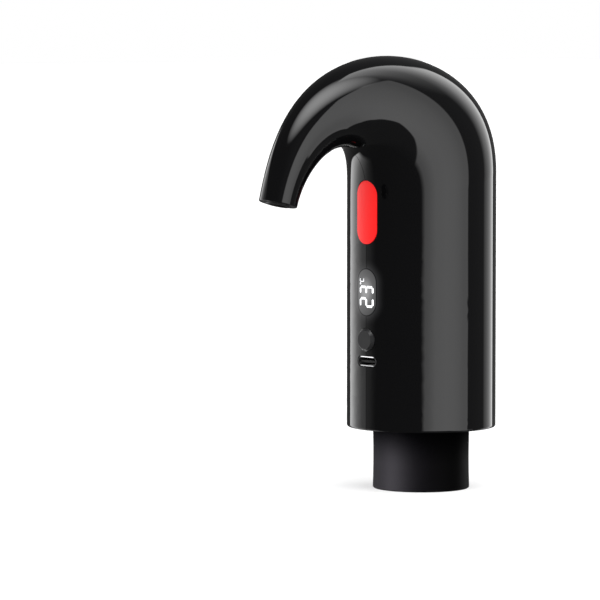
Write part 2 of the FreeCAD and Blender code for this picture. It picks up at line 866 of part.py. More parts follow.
def charging_socket():
    """Charging socket: an oval metal shell round a flat tongue on a plastic base."""
    reach = f"dim.body_radius - {BOARD_FRONT}"
    shell = new_body("socket_shell")
    sleeve = new_sketch(shell, "sleeve", lift=BOARD_FRONT)
    pill(sleeve, "dim.socket_width", "dim.socket_thickness", "dim.socket_height",
         upright=False)
    pad(shell, sleeve, f"{reach} - dim.socket_inset")
    opening = new_sketch(shell, "opening", lift="dim.body_radius")
    pill(opening, "dim.socket_width", "dim.socket_thickness", "dim.socket_height",
         upright=False, grow="-dim.socket_wall")
    pocket(shell, opening, reach)
    place(shell, z="dim.body_bottom")
    tongue = new_body("socket_tongue")
    base = new_sketch(tongue, "base", lift=BOARD_FRONT)
    pill(base, "dim.socket_width", "dim.socket_thickness", "dim.socket_height",
         upright=False, grow="-dim.socket_wall - dim.fit_gap")
    pad(tongue, base, "dim.socket_base")
    blade = new_sketch(tongue, "blade", lift=BOARD_FRONT)
    wide = "dim.tongue_width / 2"
    thick = "dim.tongue_thickness / 2"
    rectangle(blade, f"-{wide}", wide, f"dim.socket_height - {thick}",
              f"dim.socket_height + {thick}")
    pad(tongue, blade, f"{reach} - dim.tongue_inset")
    place(tongue, z="dim.body_bottom")


display_module()
charging_socket()


# Board and its screws

def board_corners():
    side = "(dim.board_width / 2 - dim.board_screw_inset)"
    low = "(dim.board_bottom_height + dim.board_screw_inset)"
    high = "(dim.board_top_height - dim.board_screw_inset)"
    return [(f"-{side}", low), (side, low), (f"-{side}", high), (side, high)]


def four_rings(body, name, lift, radius):
    sketch = new_sketch(body, name, lift=lift)
    for x, z in board_corners():
        ring(sketch, radius, x, z)
    return sketch


def main_board():
    body = new_body("main_board")
    plate = new_sketch(body, "plate", lift=BOARD_BACK)
    rectangle(plate, "-dim.board_width / 2", "dim.board_width / 2",
              "dim.board_bottom_height", "dim.board_top_height")
    pad(body, plate, "dim.board_thickness")
    holes = four_rings(body, "holes", BOARD_FRONT, "dim.screw_radius + dim.base_gap")
    pocket(body, holes, "dim.board_thickness")
    place(body, z="dim.body_bottom")


def board_screws():
    body = new_body("board_screws")
    shanks = four_rings(body, "shanks", f"{BOARD_FRONT} - dim.board_screw_length",
                        "dim.screw_radius")
    pad(body, shanks, "dim.board_screw_length")
    heads = four_rings(body, "heads", BOARD_FRONT, "dim.screw_head_radius")
    pad(body, heads, "dim.screw_head_height")
    place(body, z="dim.body_bottom")


main_board()
board_screws()


# Inner frame: two shelves on posts, joined by an upright plate behind the board

def inner_frame():
    body = new_body("inner_frame")
    for name, low in (("lower_shelf", "dim.lower_shelf_height"), ("upper_shelf", UPPER_SHELF)):
        shelf = new_sketch(body, name, "XY_Plane", lift=low)
        ring(shelf, FRAME_RADIUS)
        pad(body, shelf, "dim.shelf_thickness")
        front = new_sketch(body, name + "_front", "XY_Plane", lift=f"{low} - 1")
        rectangle(front, f"-{FRAME_RADIUS} - 1", f"{FRAME_RADIUS} + 1",
                  f"-{FRAME_RADIUS} - 1", f"-{PLATE_FRONT}")
        pocket(body, front, "dim.shelf_thickness + 2", reverse=True)
        if name == "lower_shelf":
            plate = new_sketch(body, "plate", lift=f"{PLATE_FRONT} - dim.plate_thickness")
            rectangle(plate, "-dim.plate_width / 2", "dim.plate_width / 2",
                      "dim.board_bottom_height", "dim.board_top_height")
            pad(body, plate, "dim.plate_thickness")
    post = new_sketch(body, "post", "XY_Plane", lift=FLOOR)
    ring(post, "dim.post_radius", "0", POST_CIRCLE)
    post_pad = pad(body, post, f"dim.lower_shelf_height + dim.shelf_thickness / 2 - {FLOOR}")
    doc.recompute()
    around(body, post_pad, 3)
    pilot = new_sketch(body, "pilot", "XY_Plane", lift=FLOOR)
    ring(pilot, "dim.screw_radius + dim.fit_gap", "0", POST_CIRCLE)
    pilot_cut = pocket(body, pilot, "dim.base_screw_length", reverse=True)
    around(body, pilot_cut, 3)
    standoffs = four_rings(body, "standoffs", PLATE_FRONT, "dim.standoff_radius")
    pad(body, standoffs, f"{BOARD_BACK} - {PLATE_FRONT}")
    threads = four_rings(body, "threads", BOARD_BACK, "dim.screw_radius + dim.fit_gap")
    pocket(body, threads, f"{BOARD_BACK} - {PLATE_FRONT} + dim.plate_thickness")
    seat = new_sketch(body, "cell_seat", "XY_Plane", lift=SHELF_TOP)
    ring(seat, "dim.cell_radius + dim.button_gap", CELL_SIDE, CELL_BACK)
    pocket(body, seat, "dim.cell_seat_depth")
    through = new_sketch(body, "lower_holes", "XY_Plane", lift=SHELF_TOP)
    ring(through, "dim.air_tube_radius + dim.base_gap", PUMP_SIDE, PUMP_BACK)
    side = "dim.wine_tube_radius + dim.base_gap"
    rectangle(through, f"-({side})", side,
              f"-({PLATE_FRONT} - dim.plate_thickness)", "dim.base_gap * 2")
    pocket(body, through, "dim.shelf_thickness")
    top = new_sketch(body, "upper_holes", "XY_Plane", lift=f"{UPPER_SHELF} + dim.shelf_thickness")
    ring(top, "dim.wine_tube_radius + dim.base_gap", "0", f"-{TUBE_FORWARD}")
    ring(top, "dim.cell_radius - 2", CELL_SIDE, CELL_BACK)
    ring(top, "dim.motor_radius / 2", PUMP_SIDE, PUMP_BACK)
    pocket(body, top, "dim.shelf_thickness")
    place(body, z="dim.body_bottom")


inner_frame()


# Battery cell

def battery_cell():
    top = "dim.cell_length - dim.cell_nub_height"
    edge = "dim.cell_edge"
    turned_body("battery_cell", [
        ("0", "0"),
        (f"dim.cell_radius - {edge}", "0"),
        ("dim.cell_radius", edge),
        ("dim.cell_radius", f"{top} - {edge}"),
        (f"dim.cell_radius - {edge}", top),
        ("dim.cell_nub_radius", top),
        ("dim.cell_nub_radius", "dim.cell_length"),
        ("0", "dim.cell_length"),
    ], x=CELL_SIDE, y=CELL_BACK, z=f"dim.body_bottom + {CELL_FOOT}")


battery_cell()


# Air pump: valve cap, diaphragm, housing, crank and motor, stacked on the lower shelf

def on_pump(label, corners, foot):
    return turned_body(label, corners, x=PUMP_SIDE, y=PUMP_BACK,
                       z=f"dim.body_bottom + {foot}")


def air_pump():
    barb = "dim.air_tube_bore - dim.fit_gap / 2"
    on_pump("pump_valve_cap", [
        ("dim.air_tube_bore / 2", "-dim.pump_outlet_length"),
        (barb, "-dim.pump_outlet_length"),
        (barb, "0"),
        ("dim.pump_radius", "0"),
        ("dim.pump_radius", "dim.valve_cap_thickness"),
        ("dim.air_tube_bore / 2", "dim.valve_cap_thickness"),
    ], SHELF_TOP)
    eye = "dim.crank_pin_radius + dim.crank_throw + dim.running_gap * 3"
    boss = "dim.diaphragm_thickness + dim.diaphragm_boss_height"
    floor = "dim.diaphragm_thickness + dim.base_gap"
    on_pump("pump_diaphragm", [
        ("0", "0"),
        ("dim.pump_radius", "0"),
        ("dim.pump_radius", "dim.diaphragm_thickness"),
        ("dim.diaphragm_boss_radius", "dim.diaphragm_thickness"),
        ("dim.diaphragm_boss_radius", boss),
        (eye, boss),
        (eye, floor),
        ("0", floor),
    ], DIAPHRAGM_FOOT)
    inner = "dim.pump_radius - dim.pump_wall"
    on_pump("pump_housing", [
        (inner, "0"),
        ("dim.pump_radius", "0"),
        ("dim.pump_radius", "dim.pump_housing_length"),
        ("dim.pump_lid_hole", "dim.pump_housing_length"),
        ("dim.pump_lid_hole", "dim.pump_housing_length - dim.pump_lid_thickness"),
        (inner, "dim.pump_housing_length - dim.pump_lid_thickness"),
    ], PUMP_FOOT)
    shaft = "dim.shaft_radius + dim.running_gap"
    step = "dim.motor_edge"
    on_pump("pump_motor", [
        (shaft, "0"),
        (f"dim.motor_radius - {step}", "0"),
        ("dim.motor_radius", step),
        ("dim.motor_radius", "dim.motor_length - dim.motor_cap_length"),
        (f"dim.motor_radius - {step}", "dim.motor_length - dim.motor_cap_length"),
        (f"dim.motor_radius - {step}", "dim.motor_length"),
        (shaft, "dim.motor_length"),
    ], MOTOR_FOOT)
    on_pump("motor_shaft", [
        ("0", "-dim.shaft_reach"),
        ("dim.shaft_radius", "-dim.shaft_reach"),
        ("dim.shaft_radius", "dim.motor_length - 1"),
        ("0", "dim.motor_length - 1"),
    ], MOTOR_FOOT)
    crank = on_pump("pump_crank", [
        ("0", "-dim.crank_floor"),
        ("dim.crank_radius", "-dim.crank_floor"),
        ("dim.crank_radius", "dim.crank_thickness"),
        ("dim.shaft_radius", "dim.crank_thickness"),
        ("dim.shaft_radius", "0"),
        ("0", "0"),
    ], f"({MOTOR_FOOT} - dim.shaft_reach)")
    pin = new_sketch(crank, "pin", "XY_Plane", lift="-dim.crank_floor - dim.crank_pin_length")
    ring(pin, "dim.crank_pin_radius", "dim.crank_throw", "0")
    pad(crank, pin, "dim.crank_pin_length")


air_pump()


# Stopper: a rigid core with the wine and air passages, a finned plug and a skirt

def air_port():
    """Centre of the air port, on the line from the axis to the pump."""
    pump = Vector(number(PUMP_SIDE), number(PUMP_BACK), 0)
    return pump.normalize() * size("air_port_circle")


def drill(body, name, start, end, radius):
    """Round hole from one point to another."""
    along = start - end
    sketch = neck_sketch(body, name, Placement(start, Rotation(Vector(0, 0, 1), along)))
    ring(sketch, radius)
    pocket(body, sketch, str(along.Length))


def stopper_core():
    base = f"dim.body_bottom + {FLOOR}"
    top = f"dim.body_bottom + {FLANGE_TOP}"
    groove = "dim.ring_section * 2 - dim.ring_squeeze"
    disc_top = "dim.core_disc_bottom + dim.core_disc_thickness"
    barbs = []
    for i in range(2):
        tip = f"{i} * dim.intake_barb_pitch - dim.intake_depth"
        barbs += [
            ("dim.intake_spigot_radius", tip),
            ("dim.intake_spigot_radius + dim.intake_barb", f"{tip} + dim.intake_barb_pitch * 0.6"),
            ("dim.intake_spigot_radius", f"{tip} + dim.intake_barb_pitch * 0.7"),
        ]
    body = turned_body("stopper_core", [
        ("dim.core_bore", "-dim.intake_depth"),
        *barbs,
        ("dim.intake_spigot_radius", "-dim.core_recess_depth"),
        ("dim.core_stem_bore", "-dim.core_recess_depth"),
        ("dim.core_stem_bore", "-dim.core_stem_depth"),
        ("dim.core_lip_radius", "-dim.core_stem_depth"),
        ("dim.core_lip_radius", "dim.core_lip_thickness - dim.core_stem_depth"),
        ("dim.core_stem_radius", "dim.core_lip_thickness - dim.core_stem_depth"),
        ("dim.core_stem_radius", "dim.gasket_thickness"),
        ("dim.core_neck_radius", "dim.gasket_thickness"),
        ("dim.core_neck_radius", "dim.core_disc_bottom"),
        ("dim.core_disc_radius", "dim.core_disc_bottom"),
        ("dim.core_disc_radius", disc_top),
        ("dim.core_neck_radius", disc_top),
        ("dim.core_neck_radius", base),
        ("dim.ring_radius - dim.ring_section - dim.fit_gap", base),
        ("dim.ring_radius - dim.ring_section - dim.fit_gap", f"{base} + {groove}"),
        ("dim.ring_radius + dim.ring_section + dim.fit_gap", f"{base} + {groove}"),
        ("dim.ring_radius + dim.ring_section + dim.fit_gap", base),
        ("dim.core_flange_radius", base),
        ("dim.core_flange_radius", top),
        ("dim.wine_tube_bore - dim.fit_gap", top),
        ("dim.wine_tube_bore - dim.fit_gap", f"{top} + dim.spigot_length"),
        ("dim.core_bore", f"{top} + dim.spigot_length"),
    ])
    port = air_port()
    port_sketch = new_sketch(body, "air_port", "XY_Plane", lift=top)
    ring(port_sketch, "dim.air_tube_bore - dim.fit_gap / 2", str(port.x), str(port.y))
    pad(body, port_sketch, "dim.air_port_length")
    top_z = number(top)
    below = -size("core_recess_depth")
    inner = port * (size("core_passage_circle") / port.Length)
    drill(body, "air_passage", port + Vector(0, 0, top_z + size("air_port_length")),
          inner + Vector(0, 0, below), "dim.core_passage_radius")
    vent = Vector(size("release_side"), size("release_back"), 0)
    nipple = new_sketch(body, "vent_seat", "XY_Plane", lift=top)
    ring(nipple, "dim.release_nipple_radius + dim.fit_gap", "dim.release_side",
         "dim.release_back")
    pocket(body, nipple, "dim.release_nipple_length + dim.fit_gap")
    inner = vent * (size("core_passage_circle") / vent.Length)
    drill(body, "vent_passage", vent + Vector(0, 0, top_z - size("release_nipple_length")),
          inner + Vector(0, 0, below), "dim.core_passage_radius")
    return body


stopper_core()

core_ring = doc.addObject("Part::Torus", "core_ring_shape")
core_ring.Label = "core_ring"
core_ring.setExpression("Radius1", "dim.ring_radius")
core_ring.setExpression("Radius2", "dim.ring_section - dim.ring_squeeze")
core_ring.setExpression("Placement.Base.z", f"dim.body_bottom + {FLOOR} + dim.ring_section")
parts.append(core_ring)


def stopper_plug():
    """Soft sleeve on the stem, with fins that seal against the bottle's bore."""
    inner = "dim.core_stem_radius + dim.fit_gap"
    top = "-dim.fit_gap"
    low = "dim.core_lip_thickness - dim.core_stem_depth + dim.fit_gap"
    fins = []
    for i in range(3):
        middle = f"-dim.plug_fin_first - {i} * dim.plug_fin_pitch"
        fins += [
            ("dim.plug_radius", f"{middle} + dim.plug_fin_root / 2"),
            ("dim.plug_fin_radius", f"{middle} + dim.plug_fin_land / 2"),
            ("dim.plug_fin_radius", f"{middle} - dim.plug_fin_land / 2"),
            ("dim.plug_radius", f"{middle} - dim.plug_fin_root / 2"),
        ]
    turned_body("stopper_plug", [
        (inner, top), ("dim.plug_radius", top), *fins, ("dim.plug_radius", low), (inner, low)])


def stopper_skirt():
    """Soft collar: its skirt slips over the bottle's lip and its ceiling seals the rim."""
    body = new_body("stopper_skirt")
    sketch = new_sketch(body, "profile")
    inner = "dim.skirt_waist - dim.skirt_wall"
    neck = "dim.core_neck_radius + dim.fit_gap"
    disc = "dim.core_disc_radius + dim.fit_gap"
    low = "dim.core_disc_bottom - dim.fit_gap"
    high = "dim.core_disc_bottom + dim.core_disc_thickness + dim.fit_gap"
    corners = [
        ("dim.skirt_radius - dim.skirt_edge", "-dim.skirt_depth"),
        (f"{inner} + dim.skirt_edge", "-dim.skirt_depth"),
        (inner, "dim.skirt_lead - dim.skirt_depth"),
        (inner, "0"),
        ("dim.core_stem_radius + dim.fit_gap", "0"),
        ("dim.core_stem_radius + dim.fit_gap", "dim.gasket_thickness - dim.fit_gap"),
        (neck, "dim.gasket_thickness - dim.fit_gap"),
        (neck, low),
        (disc, low),
        (disc, high),
        (neck, high),
        (neck, "dim.body_bottom"),
        ("dim.skirt_radius - dim.skirt_edge", "dim.body_bottom"),
        ("dim.skirt_radius", "dim.body_bottom - dim.skirt_edge"),
        ("dim.skirt_radius", "dim.skirt_edge - dim.skirt_depth"),
    ]
    outline(sketch, corners)
    turn(body, sketch)
    waist = new_sketch(body, "waist")
    top = "dim.body_bottom - dim.skirt_edge"
    foot = "dim.skirt_edge - dim.skirt_depth"
    upper = Vector(size("skirt_radius"), number(top), 0)
    lower = Vector(size("skirt_radius"), number(foot), 0)
    middle = Vector(size("skirt_waist"), (upper.y + lower.y) / 2, 0)
    arc = waist.addGeometry(Part.Arc(upper, middle, lower), False)
    chord = waist.addGeometry(Part.LineSegment(lower, upper), False)
    start, end = (2, 1) if waist.getPoint(arc, 2).distanceToPoint(lower) < 0.01 else (1, 2)
    waist.addConstraint(Sketcher.Constraint("Coincident", arc, start, chord, 1))
    waist.addConstraint(Sketcher.Constraint("Coincident", chord, 2, arc, end))
    fix_point(waist, chord, 1, "dim.skirt_radius", foot)
    fix_point(waist, chord, 2, "dim.skirt_radius", top)
    half = f"(({top}) - ({foot})) / 2"
    sag = "(dim.skirt_radius - dim.skirt_waist)"
    bind(waist, "Radius", (arc,), f"(({half}) ^ 2 + {sag} ^ 2) / (2 * {sag})")
    doc.recompute()
    before = body.Shape.Volume
    turn(body, waist, cut=True)
    doc.recompute()
    if body.Shape.Volume >= before:
        raise ValueError("the skirt has no waist")


stopper_plug()
stopper_skirt()


# Base cover and its screws

def base_cover():
    outer = f"({INSIDE} - dim.base_gap)"
    hole = "dim.core_neck_radius + dim.base_gap"
    body = turned_body("base_cover", [
        (hole, "0"),
        (outer, "0"),
        (outer, "dim.base_lip_height"),
        (f"{outer} - dim.base_lip_width", "dim.base_lip_height"),
        (f"{outer} - dim.base_lip_width", FLOOR),
        (hole, FLOOR),
    ], z="dim.body_bottom")
    hole_sketch = new_sketch(body, "screw_hole", "XY_Plane")
    ring(hole_sketch, "dim.screw_radius + dim.base_gap", "0", POST_CIRCLE)
    around(body, pocket(body, hole_sketch, FLOOR, reverse=True), 3)
    sink_sketch = new_sketch(body, "screw_sink", "XY_Plane")
    ring(sink_sketch, "dim.screw_head_radius + dim.base_gap", "0", POST_CIRCLE)
    around(body, pocket(body, sink_sketch, "dim.screw_head_height + dim.screw_sink",
                        reverse=True), 3)


def base_screws():
    body = new_body("base_screws")
    head = new_sketch(body, "head", "XY_Plane", lift="dim.screw_sink")
    ring(head, "dim.screw_head_radius", "0", POST_CIRCLE)
    head_pad = pad(body, head, "dim.screw_head_height")
    shank = new_sketch(body, "shank", "XY_Plane", lift="dim.screw_sink")
    ring(shank, "dim.screw_radius", "0", POST_CIRCLE)
    shank_pad = pad(body, shank, "dim.base_screw_length")
    doc.recompute()
    pattern = around(body, head_pad, 3)
    pattern.Originals = [head_pad, shank_pad]
    place(body, z="dim.body_bottom")


base_cover()
base_screws()


# Release valve: lets the air out of the bottle when pouring stops

def release_valve():
    bore = "dim.plunger_radius + dim.running_gap"
    top = f"(dim.release_floor + dim.plunger_length + dim.plunger_travel + dim.running_gap * 2)"
    turned_body("release_valve", [
        ("dim.release_port", "-dim.release_nipple_length"),
        ("dim.release_nipple_radius", "-dim.release_nipple_length"),
        ("dim.release_nipple_radius", "0"),
        ("dim.release_radius", "0"),
        ("dim.release_radius", "dim.release_length"),
        ("0", "dim.release_length"),
        ("0", top),
        (bore, top),
        (bore, "dim.release_floor"),
        ("dim.release_port", "dim.release_floor"),
    ], x="dim.release_side", y="dim.release_back", z=f"dim.body_bottom + {FLANGE_TOP}")
    foot = "dim.release_floor + dim.running_gap"
    turned_body("release_plunger", [
        ("0", foot),
        ("dim.plunger_radius", foot),
        ("dim.plunger_radius", f"{foot} + dim.plunger_length"),
        ("0", f"{foot} + dim.plunger_length"),
    ], x="dim.release_side", y="dim.release_back", z=f"dim.body_bottom + {FLANGE_TOP}")


release_valve()


# Tubes, nozzle and the sensor on the wine tube

def air_route():
    top = number(SHELF_TOP) - size("fit_gap") * 2
    foot = number(FLANGE_TOP) + size("fit_gap") * 2
    pump = Vector(number(PUMP_SIDE), number(PUMP_BACK), 0)
    port = air_port()
    bend = size("air_bend_margin")
    return [
        pump + Vector(0, 0, top),
        pump + Vector(0, 0, size("lower_shelf_height") - bend),
        port + Vector(0, 0, foot + bend),
        port + Vector(0, 0, foot),
    ]


air_wire, air_radii = bent_wire(air_route())
tube("wine_tube", wine_wire, size("wine_tube_radius"), size("wine_tube_bore"),
     size("body_bottom"))
tube("air_tube", air_wire, size("air_tube_radius"), size("air_tube_bore"),
     size("body_bottom"))


def nozzle():
    """Nozzle in the tip, on the tip's own axis, with a spigot for the wine tube."""
    front = "-dim.nozzle_proud"
    outer = "dim.nozzle_radius"
    spigot = "dim.wine_tube_bore - dim.fit_gap"
    end = "dim.nozzle_seat + dim.nozzle_spigot"
    body = turned_body("nozzle", [
        ("dim.nozzle_mouth", front),
        (f"{outer} - dim.nozzle_edge", front),
        (outer, f"{front} + dim.nozzle_edge"),
        (outer, "dim.nozzle_seat"),
        (spigot, "dim.nozzle_seat"),
        (spigot, end),
        ("dim.nozzle_bore", end),
        ("dim.nozzle_bore", "dim.nozzle_seat * 0.75"),
        ("dim.nozzle_mouth", "dim.nozzle_seat * 0.4"),
    ])
    lean = Rotation(Vector(1, 0, 0), -size("tip_tilt"))
    place(body, y="-dim.tip_reach", z="dim.body_bottom + dim.tip_height", turned=lean)


def temperature_sensor():
    """Sensor clip that hugs the back of the wine tube."""
    body = new_body("temperature_sensor")
    clip = new_sketch(body, "clip", "XY_Plane", lift="dim.sensor_height")
    inner = "dim.wine_tube_radius + dim.fit_gap"
    ring(clip, f"{inner} + dim.sensor_wall", "0", f"-{TUBE_FORWARD}")
    ring(clip, inner, "0", f"-{TUBE_FORWARD}")
    pad(body, clip, "dim.sensor_length")
    mouth = new_sketch(body, "mouth", "XY_Plane", lift="dim.sensor_height - 1")
    rectangle(mouth, "-dim.wine_tube_radius * 2", "dim.wine_tube_radius * 2",
              f"-{TUBE_FORWARD} - dim.wine_tube_radius * 2", f"-{TUBE_FORWARD} - dim.sensor_wall")
    pocket(body, mouth, "dim.sensor_length + 2", reverse=True)
    place(body, z="dim.body_bottom")


nozzle()
temperature_sensor()


# Check every object, then write the parts

doc.recompute()
for item in doc.Objects:
    if "Invalid" in item.State or "Error" in item.State:
        raise ValueError(f"{item.Label} failed: {item.State}")
for part in parts:
    if part.Shape.isNull() or not part.Shape.isValid():
        raise ValueError(f"{part.Label} has no valid shape")

os.makedirs("parts", exist_ok=True)
for part in parts:
    part.Shape.exportStep(os.path.join("parts", part.Label + ".step"))
    print(part.Label, len(part.Shape.Solids), round(part.Shape.Volume, 1))
print("wine tube bend radii", wine_radii, "air tube bend radii", air_radii)
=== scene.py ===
from math import comb, cos, degrees, radians, sin

import bmesh
import bpy
import numpy as np
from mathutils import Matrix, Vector


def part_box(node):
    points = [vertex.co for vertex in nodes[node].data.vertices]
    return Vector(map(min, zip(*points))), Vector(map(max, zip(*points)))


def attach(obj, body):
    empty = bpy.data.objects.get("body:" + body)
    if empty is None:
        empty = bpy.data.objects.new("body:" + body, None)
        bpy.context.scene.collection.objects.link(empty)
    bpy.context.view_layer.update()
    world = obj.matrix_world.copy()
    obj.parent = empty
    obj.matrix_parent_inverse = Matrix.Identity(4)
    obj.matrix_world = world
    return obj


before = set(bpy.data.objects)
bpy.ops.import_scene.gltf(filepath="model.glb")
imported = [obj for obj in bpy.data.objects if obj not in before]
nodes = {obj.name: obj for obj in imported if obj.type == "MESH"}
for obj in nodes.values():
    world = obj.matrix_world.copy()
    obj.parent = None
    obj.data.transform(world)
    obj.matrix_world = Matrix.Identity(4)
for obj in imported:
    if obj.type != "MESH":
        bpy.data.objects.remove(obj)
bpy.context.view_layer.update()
mm = 0.001
print("frame loaded:", len(nodes), "nodes")


class Wire:
    # a node's output that can stand in a sum
    def __init__(self, graph, socket):
        self.graph = graph
        self.socket = socket

    def __add__(self, other):
        return self.graph.maths("ADD", self, other)

    def __radd__(self, other):
        return self.graph.maths("ADD", other, self)

    def __sub__(self, other):
        return self.graph.maths("SUBTRACT", self, other)

    def __rsub__(self, other):
        return self.graph.maths("SUBTRACT", other, self)

    def __mul__(self, other):
        return self.graph.maths("MULTIPLY", self, other)

    def __truediv__(self, other):
        return self.graph.maths("DIVIDE", self, other)

    def __pow__(self, other):
        return self.graph.maths("POWER", self, other)

    def __abs__(self):
        return self.graph.maths("ABSOLUTE", self)

    def held(self, low=0.0, high=1.0):
        return self.graph.add("ShaderNodeClamp", None, {0: self, 1: low, 2: high})

    def ramp(self, *stops):  # straight lines between places from 0 to 1
        return self.graph.add("ShaderNodeValToRGB", {"stops": stops}, {0: self})

    def level(self, *stops):  # a ramp whose values go past 1
        peak = max(value for place, value in stops)
        return self.ramp(*((place, value / peak) for place, value in stops)) * peak

    def part(self, axis):
        return self.graph.add("ShaderNodeSeparateXYZ", None, {0: self}, axis)


class Graph:
    # a node tree that is written from its textures towards its output
    def __init__(self, owner):
        owner.use_nodes = True
        self.tree = owner.node_tree
        self.tree.nodes.clear()

    def add(self, kind, settings=None, sockets=None, out=0):
        node = self.tree.nodes.new(kind)
        for name, value in (settings or {}).items():
            if name == "stops":
                marks = node.color_ramp.elements
                while len(marks) < len(value):
                    marks.new(1.0)
                for mark, (place, tone) in zip(marks, value):
                    mark.position = place
                    mark.color = rgb(tone, tone, tone)
            else:
                setattr(node, name, value)
        for name, value in (sockets or {}).items():
            spot = node.inputs[name]
            if isinstance(value, Wire):
                self.tree.links.new(value.socket, spot)
            else:
                spot.default_value = value
        return Wire(self, node.outputs[out]) if node.outputs else None

    def maths(self, operation, *values):
        return self.add("ShaderNodeMath", {"operation": operation}, dict(enumerate(values)))

    def place(self):  # the point on the piece, in metres
        return self.add("ShaderNodeTexCoord", None, None, "Object")

    def grain(self, size, detail=2.0, place=None):  # size in millimetres
        return self.add("ShaderNodeTexNoise", None,
                        {"Vector": place or self.place(), "Scale": 1 / (size * mm), "Detail": detail})

    def bump(self, height, depth):  # depth in millimetres
        return self.add("ShaderNodeBump", None, {"Height": height, "Distance": depth * mm})

    def blend(self, factor, first, second):
        return self.add("ShaderNodeMix", {"data_type": "RGBA"}, {0: factor, 6: first, 7: second}, 2)

    def overlay(self, factor, first, second):
        return self.add("ShaderNodeMixShader", None, {0: factor, 1: first, 2: second})

    def surface(self, **sockets):
        return self.add("ShaderNodeBsdfPrincipled", None,
                        {name.replace("_", " "): value for name, value in sockets.items()})

    def finish(self, shader, kind="ShaderNodeOutputMaterial"):
        self.add(kind, None, {"Surface": shader})


def newFinish(name):
    material = bpy.data.materials.new(name)
    return material, Graph(material)


def dress(material, *names):
    for name in names:
        nodes[name].data.materials.clear()
        nodes[name].data.materials.append(material)


def rgb(red, green, blue):
    return red, green, blue, 1.0


black = rgb(0, 0, 0)
white = rgb(1, 1, 1)

# camera, at the photograph's viewing angle
view = {"place": (0.9802, -0.9131, 0.14217), "towards": (-0.7503, 0.6575, -0.0701), "lens": 240,
        "sensor": 36, "nearest": 0.05, "furthest": 50}
camera = bpy.data.objects.new("camera", bpy.data.cameras.new("camera"))
camera.location = view["place"]
camera.rotation_euler = Vector(view["towards"]).to_track_quat("-Z", "Y").to_euler()
camera.data.lens = view["lens"]
camera.data.sensor_width = view["sensor"]
camera.data.clip_start = view["nearest"]
camera.data.clip_end = view["furthest"]
bpy.context.scene.collection.objects.link(camera)
bpy.context.scene.camera = camera
bpy.context.scene.view_settings.view_transform = "Standard"
print("camera set")

# studio: a large softbox to the right of the camera, a light arch overhead and a strip light behind the left.
# Angles are in degrees: round the upright axis from the camera's side, and above the horizon. The arch is
# drawn on a flat map of the sky, where 0, 0 is overhead, 1 is the horizon to the right, and -1 in height is
# the camera's side. "crisp" is how sharply a light ends: the higher, the sharper.
studio = {
    "cameraAzimuth": 48.8, "fill": 0.5, "surround": ((0.45, 0.075), (0.6, 0.12)),
    "softbox": {"left": 0, "right": 92, "upperRight": 75.5, "lowerRight": 84, "wideFrom": -6.5, "wideOver": 4,
                "fade": 0.2, "fadeOver": 45, "lead": 2,
                "soft": {"left": 6, "right": 1.5, "top": 2, "foot": 1.5},
                "tone": ((0.0, 1.04), (0.1, 1.36), (0.22, 1.84), (0.4, 1.96), (0.54, 1.86), (0.633, 1.68),
                         (0.73, 1.4), (0.82, 1.32), (1.0, 1.44)),
                "foot": ((0.0, 9), (0.26, 9.5), (0.39, 14), (0.446, 20), (0.545, 28), (0.7, 34), (1.0, 36)),
                "top": ((0.0, 6), (0.15, 8), (0.217, 9.5), (0.27, 13), (0.33, 15), (0.38, 17.6), (0.435, 23),
                        (0.467, 36), (0.61, 47), (0.76, 51), (1.0, 51))},
    "arch": {"edge": ((0.0, 0.03), (0.1, 0.05), (0.2, 0.13), (0.3, 0.22), (0.4, 0.24), (0.5, 0.32),
                      (0.6, 0.42), (0.7, 0.53), (0.8, 0.62), (0.9, 0.68), (1.0, 0.75)),
             "reach": ((0.0, 0.45), (0.1, 0.45), (0.2, 0.52), (0.3, 0.64), (0.4, 0.84), (0.5, 0.8),
                       (0.6, 0.7), (0.7, 0.6), (0.8, 0.4), (1.0, 0.3)),
             "tone": ((0.0, 3.44), (0.1, 3.12), (0.25, 2.4), (0.5, 1.28), (0.75, 0.56), (1.0, 0.0)),
             "crisp": 30, "near": -0.12, "nearCrisp": 8, "lowest": -0.7, "lowestCrisp": 6,
             "glow": {"middle": (0.02, -0.22), "reach": (0.34, 0.27), "bright": 5.6}},
    "strip": {"from": -146, "to": -76, "crisp": 45, "top": 20, "topSoft": 2, "foot": -60, "footSoft": 10,
              "tone": ((0.0, 2.5), (0.15, 2.3), (0.27, 1.8), (0.36, 1.3), (0.45, 0.95), (0.55, 0.73),
                       (0.63, 0.55), (0.7, 0.37), (0.78, 0.22), (0.88, 0.1), (1.0, 0.0))},
    "tiny": 0.0001,  # keeps a division from meeting nothing
}


